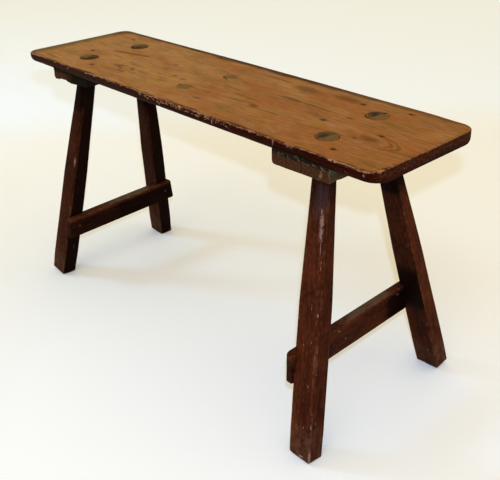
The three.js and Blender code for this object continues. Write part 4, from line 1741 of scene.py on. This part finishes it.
@dataclass(frozen=True)
class SeatBoard:
    """The seat: one plank, its arrises broken in places and its top worn a little hollow."""

    shape: EasedBoard = EasedBoard(
        corners=(
            (-HALF_LENGTH, FRONT_EDGE),
            (HALF_LENGTH, FRONT_EDGE),
            (HALF_LENGTH, REAR_EDGE - REAR_TAPER),
            (-HALF_LENGTH, REAR_EDGE + REAR_TAPER),
        ),
        radii=(20.0, 25.0, 27.0, 20.0),
        bottom=SEAT_UNDERSIDE,
        top=SEAT_TOP,
        lower_arris=(FRONT_ARRIS, 1.2, 7.0, 1.2),
        upper_arris=(1.8, 1.8, 1.8, 1.8),
    )
    chips: tuple[Chip, ...] = table(Chip, (
        (-232.0, 16.0, 0.9), (-205.0, 7.0, 0.6), (-61.0, 14.0, 1.3), (-38.0, 9.0, 0.9),
        (-22.0, 12.0, 1.2), (-4.0, 10.0, 1.4), (22.0, 9.0, 0.8), (58.0, 12.0, 1.0), (104.0, 9.0, 0.8),
        (136.0, 10.0, 2.2), (196.0, 8.0, 0.8), (246.0, 10.0, 0.9), (272.0, 16.0, 1.2), (303.0, 26.0, 2.6),
        (384.0, 8.0, 1.6), (393.0, 5.0, 1.3), (447.0, 14.0, 1.2),
    ))

    def bow(self, x: float) -> float:
        """Give how far the rear edge stands out past a straight one."""
        right = 2.6 * ease(x, 0.0, 160.0) * ease(x, 440.0, 360.0)
        return 4.4 * math.exp(-(((x + 50) / 190) ** 2)) + right + 0.8 * ease(abs(x), 430.0, 380.0)

    def rim(self, point: Vector) -> float:
        """Give how far a point is inside the outline, in plan.

        Args:
            point: The point.

        Returns:
            The distance.
        """
        right, rear = point.x > 0, point.y > 0
        from_end = HALF_LENGTH - abs(point.x)
        rear_edge = REAR_EDGE - REAR_TAPER * point.x / HALF_LENGTH + self.bow(point.x)
        from_side = rear_edge - point.y if rear else point.y - FRONT_EDGE
        radius = self.shape.radii[(2 if right else 3) if rear else (1 if right else 0)]
        if from_end < radius and from_side < radius:
            return radius - math.hypot(radius - from_end, radius - from_side)
        return min(from_end, from_side)

    def broken(self, point: Vector) -> float:
        """Give how deep the arris has broken away beside a point.

        Args:
            point: The point.

        Returns:
            The depth.
        """
        small = 0.9 * ease(rough(point, (6.0, 6.0, 40.0), 4.0), 0.62, 0.85)
        if point.y < -60:
            return max([small] + [chip.at(point.x) for chip in self.chips])
        return 0.6 * small

    def worn_by(self, point: Vector, normal: Vector) -> Vector:
        """Give the move that wear and knocks have given a point.

        Args:
            point: The point.
            normal: Its outward normal.

        Returns:
            The move.
        """
        bow = Vector((0, self.bow(point.x) * ease(point.y, 88.0, 121.0), 0))
        rim = self.rim(point + bow)
        near_top = math.hypot(rim, SEAT_TOP - point.z)
        middle = Vector((point.x * 0.9, point.y * 0.3, SEAT_TOP - 30))
        inwards = (middle - point).normalized()
        move = bow
        if rim > 16 and 0.5 < point.z - SEAT_UNDERSIDE < 20:
            return move
        if near_top < 9:
            share = ease(near_top, 9.0, 0.0)
            side = Vector((0, -math.copysign(1, point.y), -1)) if abs(point.x) < 436 else inwards
            drop = self.broken(point) + 0.5 * rough(point, (30, 30, 30), 2.0)
            move += side.normalized() * share * drop * (0.45 if point.y > 60 else 1.0)
        if point.z > SEAT_TOP - 0.01:
            hollow = 0.9 * ease(rim, 0.0, 110.0) * rough(point, (260, 120, 50), 6.0)
            ripple = 0.35 * rough(point, (70, 11, 50), 8.0)
            move.z -= ease(rim, 1.0, 12.0) * (hollow + ripple)
        else:
            dent = 0.7 * rough(point, (46, 20, 12), 1.0) + 0.25 * rough(point, (9, 9, 7), 3.0)
            move -= normal * dent * (0.3 if point.y > 90 or abs(point.x) > 440 and point.y > -108 else 0.8)
        return move

    def blank(self) -> Body:
        """Make the plank and slice it, finely where its arris is chipped.

        Returns:
            The body.
        """
        body = skin(self.shape.rings())
        rows = [-121.5, -116.5, -111.0, -105.0] + [-98.5 + 6.5 * i for i in range(31)]
        rows += [108.0, 113.0, 117.5, 121.0]
        slice_across(body, Vector((0, 1, 0)), rows)
        slice_across(body, Vector((1, 0, 0)), (-434.0, 430.0))
        self.divide(body, 863.0, 156)
        ends = {-1: (-457.5, -453, -448, -443, -438.5), 1: (434.5, 439, 444, 449, 454, 458)}
        for side, stations in ends.items():
            faces = [face for face in body.faces if side * face.calc_center_median().x > 429]
            slice_across(body, Vector((1, 0, 0)), stations, faces)
        slice_across(body, Vector((0, 0, 1)), (496.0, 497.6))
        self.divide(body, 5.0, 2, lambda mid: mid.y < -119 and mid.z > 490)
        return body

    def divide(
        self, body: Body, length: float, cuts: int, inside: Callable[[Vector], bool] = lambda middle: True
    ) -> None:
        """Divide the edges that run along the board and are at least so long.

        Args:
            body: The board.
            length: The least length.
            cuts: How many times each is divided.
            inside: Says for an edge's middle whether it is taken.
        """
        chosen = []
        for edge in body.edges:
            first, second = (vert.co for vert in edge.verts)
            reach = second - first
            if abs(reach.x) >= length and abs(reach.y) < 0.05 * abs(reach.x):
                if inside((first + second) / 2):
                    chosen.append(edge)
        bmesh.ops.subdivide_edges(body, edges=chosen, cuts=cuts, use_grid_fill=True)

    def worn(self, point: Vector) -> float:
        """Give how near a point is to the top arris, from 0 to 1."""
        return ease(math.hypot(self.rim(point), SEAT_TOP - point.z), 11.0, 1.0)

    def chip(self, point: Vector) -> float:
        """Give 1 where the arris has broken away or is rubbed pale.

        Args:
            point: The point.

        Returns:
            The share.
        """
        if point.y > 60 or abs(point.x) > HALF_LENGTH - 1:
            return 0.0
        near = math.hypot(self.rim(point), SEAT_TOP - point.z)
        depth = self.broken(point)
        crumbs = ease(abs(point.x - 62), 150.0, 100.0)
        down = ease(SEAT_TOP - point.z, 14.0, 6.0) * ease(self.rim(point), 5.0, 2.0)
        rubbed = max(0.55 * ease(near, 3.0, 0.5), 0.66 * crumbs * down)
        return max(rubbed, min(0.9, depth) * ease(near, 0.8 + 1.6 * depth, 0.4 + 0.6 * depth))

    def build(self, legs: Sequence[Leg], nails: Sequence[Nail]) -> Piece:
        """Make the seat.

        Args:
            legs: The legs whose tenons go through it.
            nails: The nails driven through it.

        Returns:
            The piece.
        """
        cutters = [leg.mortise(leg.gap_shift) for leg in legs] + [nail.hole() for nail in nails]
        body = carve(self.blank(), cutters)
        wear(body, self.worn_by)
        heads = [nail.head for nail in nails]
        ends = [leg.axis(SEAT_TOP) for leg in legs]
        material = SeatWood().material(heads, ends)
        marks = {"worn": self.worn, "chip": self.chip, "rim": self.rim}
        return deliver(body, "seat_board", "plank", material, marks)


@dataclass(frozen=True)
class Batten:
    """A riven board across the bench under the seat."""

    name: str
    front: Pair
    length: float
    widths: Pair
    skew_degrees: float
    wane: float
    finish: BattenWood
    lumps: float = 0.6
    split: Sides = (0.0, 0.0, 0.0, 0.0)
    cracks: tuple[Triple, ...] = ()

    @property
    def along(self) -> Vector:
        """The direction from its front end to its rear one."""
        skew = math.radians(self.skew_degrees)
        return Vector((-math.sin(skew), math.cos(skew), 0))

    @property
    def across(self) -> Vector:
        """The direction across it, to the right."""
        return Vector((self.along.y, -self.along.x, 0))

    def point(self, distance: float, offset: float, z: float) -> Vector:
        """Give a point so far along and across the batten, at a height."""
        plan = Vector((*self.front, 0)) + self.along * distance + self.across * offset
        return Vector((plan.x, plan.y, z))

    def shape(self) -> EasedBoard:
        """Give the batten's eased outline.

        Returns:
            The outline with its arrises.
        """
        front, rear = (width / 2 for width in self.widths)
        places = ((0, -front), (0, front), (self.length, rear), (self.length, -rear))
        corners = tuple(tuple(self.point(a, b, 0).to_2d()) for a, b in places)
        return EasedBoard(
            corners=corners,
            radii=(1.6, 2.5, 2.5, 2.5),
            bottom=BATTEN_UNDERSIDE,
            top=SEAT_UNDERSIDE,
            lower_arris=(1.6, 1.6, 1.6, self.wane),
            upper_arris=(1.4, 2.0, 4.0, 1.4),
            corner_steps=3,
            lower_steps=6,
        )

    def blank(self) -> Body:
        """Make the batten and slice it for its wear.

        Returns:
            The body.
        """
        body = skin(self.shape().rings())
        start = Vector((*self.front, 0))
        first = start.dot(self.along)
        reach = max(self.widths) / 2
        middle = start.dot(self.across)
        offsets = [middle - reach + 2 * reach * i / 20 for i in range(1, 20)]
        slice_across(body, self.across, offsets)
        lengths = [1.2, 3.5, 7.0] + [12 + 6.2 * i for i in range(38)]
        slice_across(body, self.along, [first + length for length in lengths])
        slice_across(body, Vector((0, 0, 1)), (464.5, 468.0, 471.5, 474.5))
        return body

    def splinter(self) -> Body:
        """Make the body of the sliver that has split off the lower front edge.

        Returns:
            The body.
        """
        start, end, depth, height = self.split
        reach = (depth + OVERRUN) / depth
        low = BATTEN_UNDERSIDE - OVERRUN
        rings = []
        for offset in (start, start + 0.3 * (end - start), start + 0.7 * (end - start), end):
            bow = 1.0 if start < offset < end else 0.6
            places = [(-OVERRUN, low), (depth * bow, low), (depth * bow, BATTEN_UNDERSIDE)]
            places += [(-OVERRUN, BATTEN_UNDERSIDE + height * bow * reach)]
            rings.append([self.point(distance, offset, z) for distance, z in places])
        return skin(rings)

    def crack(self, offset: float, depth: float, width: float) -> Body:
        """Make a thin body that cuts a drying crack into the front end.

        Args:
            offset: How far across it stands.
            depth: How deep it goes.
            width: How wide it gapes.

        Returns:
            The body.
        """
        rings = []
        for step in range(6):
            z = BATTEN_UNDERSIDE - 2 + (SEAT_UNDERSIDE - BATTEN_UNDERSIDE + 4) * step / 5
            lean = 1.2 * math.sin(2.1 * step + offset)
            places = ((-3.0, -width), (-3.0, width), (depth, 0.05), (depth, -0.05))
            rings.append([self.point(distance, offset + lean + side, z) for distance, side in places])
        return skin(rings)

    def roughen(self, point: Vector, normal: Vector) -> Vector:
        """Give the move of a point: up under the seat's rounded arris, and in where it is rough.

        Args:
            point: The point.
            normal: Its outward normal.

        Returns:
            The move.
        """
        seed = self.front[0] * 0.017
        reach = min(12.0, max(0.0, -112.6 - point.y))
        rise = FRONT_ARRIS - math.sqrt(FRONT_ARRIS**2 - reach**2)
        lift = Vector((0, 0, rise * ease(point.z, 473.0, 480.5)))
        if self.inside(point)[1] > 5 and 0.5 < point.z - BATTEN_UNDERSIDE < 19:
            return lift
        if point.z > SEAT_UNDERSIDE - 0.01:
            return lift - Vector((0, 0, 0.25 * rough(point, (20, 50, 20), seed)))
        depth = 0.9 * rough(point, (14.0, 46.0, 9.0), seed) + 0.5 * rough(point, (4.0, 12.0, 4.0), seed + 5)
        knock = ease(rough(point, (9.0, 13.0, 9.0), seed + 2), 0.66, 0.86) * self.worn(point)
        return lift - normal * (self.lumps * depth + 1.1 * knock - 0.3)

    def worn(self, point: Vector) -> float:
        """Give how near a point is to an arris, from 0 to 1."""
        near = self.inside(point)
        return ease(math.hypot(near[0], near[1]), 6.5, 1.2)

    def local(self, point: Vector) -> Triple:
        """Give how far a point is along and across the batten, and its half width there.

        Args:
            point: The point.

        Returns:
            The distance along, the distance across, and the half width.
        """
        plan = point - Vector((*self.front, point.z))
        distance = plan.dot(self.along)
        share = min(1.0, max(0.0, distance / self.length))
        half = self.widths[0] / 2 + share * (self.widths[1] - self.widths[0]) / 2
        return distance, plan.dot(self.across), half

    def flank(self, point: Vector) -> float:
        """Give 1 on the side that faces right, and 0 elsewhere."""
        _, offset, side = self.local(point)
        return ease(offset, side - 2.4, side - 1.2)

    def inside(self, point: Vector) -> list[float]:
        """Give a point's distances from the nearest side, end and face, the least first.

        Args:
            point: The point.

        Returns:
            The three distances.
        """
        distance, offset, side = self.local(point)
        end = min(distance, self.length - distance)
        level = min(point.z - BATTEN_UNDERSIDE, SEAT_UNDERSIDE - point.z)
        return sorted((side - abs(offset), end, level))

    def build(self, legs: Sequence[Leg], nails: Sequence[Nail]) -> Piece:
        """Make the batten.

        Args:
            legs: The legs whose tenons go through it.
            nails: The nails driven into it.

        Returns:
            The piece.
        """
        cutters = [leg.mortise((0.0, 0.0)) for leg in legs] + [nail.hole() for nail in nails]
        cutters += [self.crack(*crack) for crack in self.cracks]
        if self.split[3]:
            cutters.append(self.splinter())
        body = carve(self.blank(), cutters)
        wear(body, self.roughen)
        material = self.finish.material(f"batten_wood_{self.name}")
        marks = {"worn": self.worn, "flank": self.flank}
        return deliver(body, f"batten_{self.name}", "riven", material, marks)


class LampKind(Enum):
    """How a lamp gives its light."""

    PANEL = "AREA"
    BULB = "POINT"
    SKY = "SUN"


@dataclass(frozen=True)
class Lamp:
    """A lamp that points at the bench and gives the same light near and far."""

    name: str
    kind: LampKind
    position: Triple
    width: float
    level: Triple
    target: Triple = (0.0, 0.0, 0.0)

    def build(self) -> None:
        """Hang the lamp so that it gives the floor at its target its share of the full level."""
        lamp = bpy.data.lights.new(self.name, self.kind.value)
        reach = Vector(self.position) - Vector(self.target)
        lamp.color = self.level
        lamp.energy = math.pi / reach.normalized().z
        if self.kind is LampKind.SKY:
            lamp.angle = math.radians(self.width)
        elif self.kind is LampKind.PANEL:
            lamp.shape = "DISK"
            lamp.size = self.width
            lamp.energy *= math.pi * reach.length_squared
        else:
            lamp.shadow_soft_size = self.width / 2
            lamp.energy *= 4 * math.pi
            lamp.use_nodes = True
            tree = lamp.node_tree
            falloff = tree.nodes.new("ShaderNodeLightFalloff")
            falloff.inputs["Strength"].default_value = 1.0
            tree.links.new(falloff.outputs["Constant"], tree.nodes["Emission"].inputs["Strength"])
        made = bpy.data.objects.new(self.name, lamp)
        made.location = self.position
        made.rotation_euler = reach.to_track_quat("Z", "Y").to_euler()
        made.visible_camera = False
        bpy.context.scene.collection.objects.link(made)


@dataclass(frozen=True)
class Studio:
    """The floor, the light and the camera."""

    camera_place: Triple = (1.01611, -0.86902, 0.90633)
    azimuth: float = 0.840767
    elevation: float = 0.493690
    roll: float = -0.0258537
    lens: float = 54.431
    shift: Pair = (0.0282, -0.0101)
    room: Triple = (0.86, 0.75, 0.54)
    backdrop: Tone = tone(247, 246, 242)
    lamps: tuple[Lamp, ...] = (
        Lamp("lamp_left", LampKind.PANEL, (-2.0, -1.2, 1.9), 0.5, (0.04, 0.09, 0.17), (-0.4, 0.0, 0.0)),
        Lamp("lamp_front", LampKind.SKY, (0.3, -1.1, 1.3), 22.0, (0.05, 0.05, 0.05)),
        Lamp("flash", LampKind.BULB, (1.026, -0.858, 1.0), 0.03, (0.08, 0.14, 0.25)),
    )

    def build(self) -> None:
        """Set up the studio."""
        self.set_camera()
        self.set_world()
        self.lay_floor()
        for lamp in self.lamps:
            lamp.build()
        bpy.context.scene.view_settings.view_transform = "Standard"

    def set_camera(self) -> None:
        """Place the camera where the photograph was taken from."""
        data = bpy.data.cameras.new("camera")
        data.lens = self.lens
        data.sensor_width = 36.0
        data.shift_x, data.shift_y = self.shift
        data.clip_end = 50.0
        made = bpy.data.objects.new("camera", data)
        bpy.context.scene.collection.objects.link(made)
        flat = math.cos(self.elevation)
        plan = (math.sin(self.azimuth) * flat, -math.cos(self.azimuth) * flat)
        back = Vector((*plan, math.sin(self.elevation)))
        right = (-back).cross(Vector((0, 0, 1))).normalized()
        up = right.cross(-back)
        across = right * math.cos(self.roll) + up * math.sin(self.roll)
        above = up * math.cos(self.roll) - right * math.sin(self.roll)
        turn = Matrix((across, above, back)).transposed().to_4x4()
        made.matrix_world = Matrix.Translation(self.camera_place) @ turn
        bpy.context.scene.camera = made

    def set_world(self) -> None:
        """Light the room evenly, and let the camera see a pale wall."""
        world = bpy.data.worlds.new("room")
        world.use_nodes = True
        bpy.context.scene.world = world
        tree = world.node_tree
        tree.nodes.clear()
        kinds = ("LightPath", "Background", "Background", "MixShader", "OutputWorld")
        path, room, wall, mixer, output = [tree.nodes.new(f"ShaderNode{kind}") for kind in kinds]
        room.inputs["Color"].default_value = (*self.room, 1.0)
        wall.inputs["Color"].default_value = self.backdrop
        sources = (path.outputs["Is Camera Ray"], room.outputs[0], wall.outputs[0])
        for source, socket in zip(sources, mixer.inputs):
            tree.links.new(source, socket)
        tree.links.new(mixer.outputs[0], output.inputs[0])

    def lay_floor(self) -> None:
        """Lay a wide pale floor under the bench."""
        body = bmesh.new()
        bmesh.ops.create_grid(body, x_segments=2, y_segments=2, size=20.0)
        made = as_object(body, "floor")
        made.data.materials.append(StudioFloor().material())


@dataclass(frozen=True)
class Bench:
    """The whole bench."""

    seat: SeatBoard = SeatBoard()
    legs: tuple[Leg, ...] = (
        # Each leg's gloom, dark_side, dark_bands, dark_top and dark_from set its painted shade, crescent
        # its painted shadow on the tenon's end, and the front right leg's sheen a painted highlight.
        Leg(
            "front_left", (-322.0, -60.5), (-78.0, -86.5), 0.8, (0.8, 0.8), 6.0,
            flecks=table(Fleck, (
                (-340.2, -115.0, 280.5, 2.8, 11.0), (-366.5, -132.7, 68.7, 1.5, 8.0),
                (-379.5, -148.5, 86.5, 1.2, 2.5),
            )),
            gap_shift=(0.2, -0.7), gloom=0.48, dark_side=(1.0, 0.3), dark_from=365.0, swell=0.6,
            foot_round=0.1, crescent=(-5.0, 1.5, 0.95),
        ),
        Leg(
            "front_right", (322.4, -61.5), (79.0, -117.5), 0.0, (0.0, 0.5), -13.0,
            flecks=table(Fleck, (
                # The first five rows paint a highlight line down the front right arris, and the row at
                # 421.0 a highlight on the foot's corner; the rest are chips.
                (350.5, -99.9, 399.9, 1.5, 6.0), (354.2, -103.3, 384.3, 2.8, 14.0),
                (357.4, -107.9, 368.0, 3.0, 13.0), (361.5, -112.5, 350.0, 0.6, 22.0),
                (369.8, -120.5, 311.0, 0.5, 18.0), (368.6, -136.0, 253.1, 1.0, 5.0),
                (372.0, -138.0, 243.0, 0.9, 4.0), (381.9, -137.3, 245.9, 1.2, 4.0),
                (382.6, -138.5, 235.0, 1.1, 4.0), (366.4, -150.8, 189.3, 1.2, 2.0),
                (380.8, -148.4, 199.7, 1.1, 2.0), (391.3, -165.0, 128.1, 1.3, 2.5),
                (399.6, -157.1, 151.8, 0.8, 2.0), (398.1, -181.1, 58.6, 1.1, 2.0),
                (412.7, -170.1, 68.8, 1.1, 2.5), (412.0, -179.3, 65.2, 1.2, 4.0),
                (421.0, -191.2, 14.0, 3.2, 11.0), (404.0, -193.0, 8.0, 6.0, 2.2),
            )),
            gap_shift=(0.5, -0.4), dark_side=(0.38, 0.5), dark_bands=((461.0, 3.0, 11.0),),
            sheen=(346.0, -98.0, 425.0), dark_top=0.62, dark_from=376.0, foot_round=2.9,
            crescent=(2.5, 1.0, 0.7),
        ),
        Leg(
            "rear_left", (-315.0, 61.05), (-82.5, 78.5), 0.2, (0.8, 0.0), -4.0, gap_shift=(0.2, -0.6),
            gloom=0.6, dark_side=(1.0, 0.3), dark_from=334.0, foot_round=0.0, crescent=(-2.5, 3.5, 0.9),
        ),
        Leg(
            "rear_right", (319.5, 61.53), (81.5, 116.0), 1.6, (0.5, 0.5), -15.0,
            flecks=table(Fleck, (
                (405.3, 136.4, 108.3, 1.2, 5.0), (405.9, 150.5, 42.5, 1.2, 2.5),
            )),
            gap_shift=(-0.6, -0.3), dark_side=(0.12, -0.5),
            dark_bands=((178.0, 20.0, 80.0), (388.0, 12.0, 26.0)), dark_from=352.0, foot_round=2.3,
            crescent=(4.0, -1.0, 0.6),
        ),
    )
    stretchers: tuple[Stretcher, ...] = (
        # The left stretcher takes much painted shade, deepening from its middle towards the rear.
        Stretcher(
            "left", -360.35, -338.85, -148.0, 139.0, 131.75, 45.5, 0.026,
            (0.1295, -0.1175), painted_shade=0.74, shade_from=-50.0,
        ),
        Stretcher(
            "right", 360.21, 343.21, -170.8, 167.7, 147.25, 55.5, 0.02, (0.0, 0.0),
            flecks=table(Fleck, (
                # The row at 102.2 paints a pale highlight line beside the rear leg; the other two are
                # chips.
                (360.2, -55.7, 163.5, 1.5, 3.0), (360.2, -38.2, 140.5, 1.2, 3.0),
                (360.2, 102.2, 165.4, 1.2, 3.5),
            )),
        ),
    )
    battens: tuple[Batten, ...] = (
        Batten(
            "left", (-306.9, -121.8), 245.97, (106.7, 106.7), 5.6, 14.0,
            BattenWood((-300.0, 428.0), (0.0, 0.0, math.radians(5.6)), gloom=0.92, patina=0.5),
            lumps=2.6, split=(-45.35, -0.35, 13.0, 4.5), cracks=((12.0, 16.0, 0.5),),
        ),
        Batten(
            "right", (326.4, -124.8), 247.07, (112.8, 132.0), 1.6, 6.5,
            BattenWood((300.0, 446.0), (0.0, 0.0, math.radians(1.6))),
            cracks=((3.2, 26.0, 0.9), (-26.0, 12.0, 0.35), (29.0, 10.0, 0.3)),
        ),
    )
    faded_nails: tuple[str, str] = ("seat_nail_left_inner_front", "seat_nail_left_outer_rear")

    def build(self) -> None:
        """Make every piece and dress the nodes that stay."""
        iron = ForgedIron().material()
        names = sorted(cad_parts)
        down = Vector((0, 0, -1))
        seat_nails = [Nail.of_node(n, down) for n in names if n.startswith("seat_nail")]
        outwards = {"left": Vector((-1, 0, 0)), "right": Vector((1, 0, 0))}
        bars = [name for name in names if name.startswith("stretcher_nail")]
        bar_nails = [Nail.of_node(name, outwards[name.split("_")[-1]]) for name in bars]
        faded = ForgedIron(tone(86, 52, 22), tone(112, 72, 34)).material()
        for nail in seat_nails + bar_nails:
            nail.build(faded if nail.node in self.faded_nails else iron)
        self.seat.build(self.legs, seat_nails)
        for batten, stretcher in zip(self.battens, self.stretchers):
            end = batten.name
            legs = [leg for leg in self.legs if leg.name.endswith(end)]
            batten.build(legs, [nail for nail in seat_nails if f"_{end}_" in nail.node])
            at_end = [nail for nail in bar_nails if nail.node.endswith(end)]
            stretcher.build(at_end)
            for leg in legs:
                mine = [nail for nail in at_end if leg.name.split("_")[0] in nail.node]
                leg.build(stretcher.cutter(), mine)
        wedge = WedgeWood().material()
        for name in names:
            if name.startswith("tenon_wedge"):
                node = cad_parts[name]
                node.data.materials.clear()
                node.data.materials.append(wedge)
                log.info("%s: dressed", name)


def main() -> None:
    """Build the studio and the bench in order."""
    logging.basicConfig(level=logging.INFO, format="%(message)s")
    Studio().build()
    Bench().build()


if __name__ == "__main__":
    main()
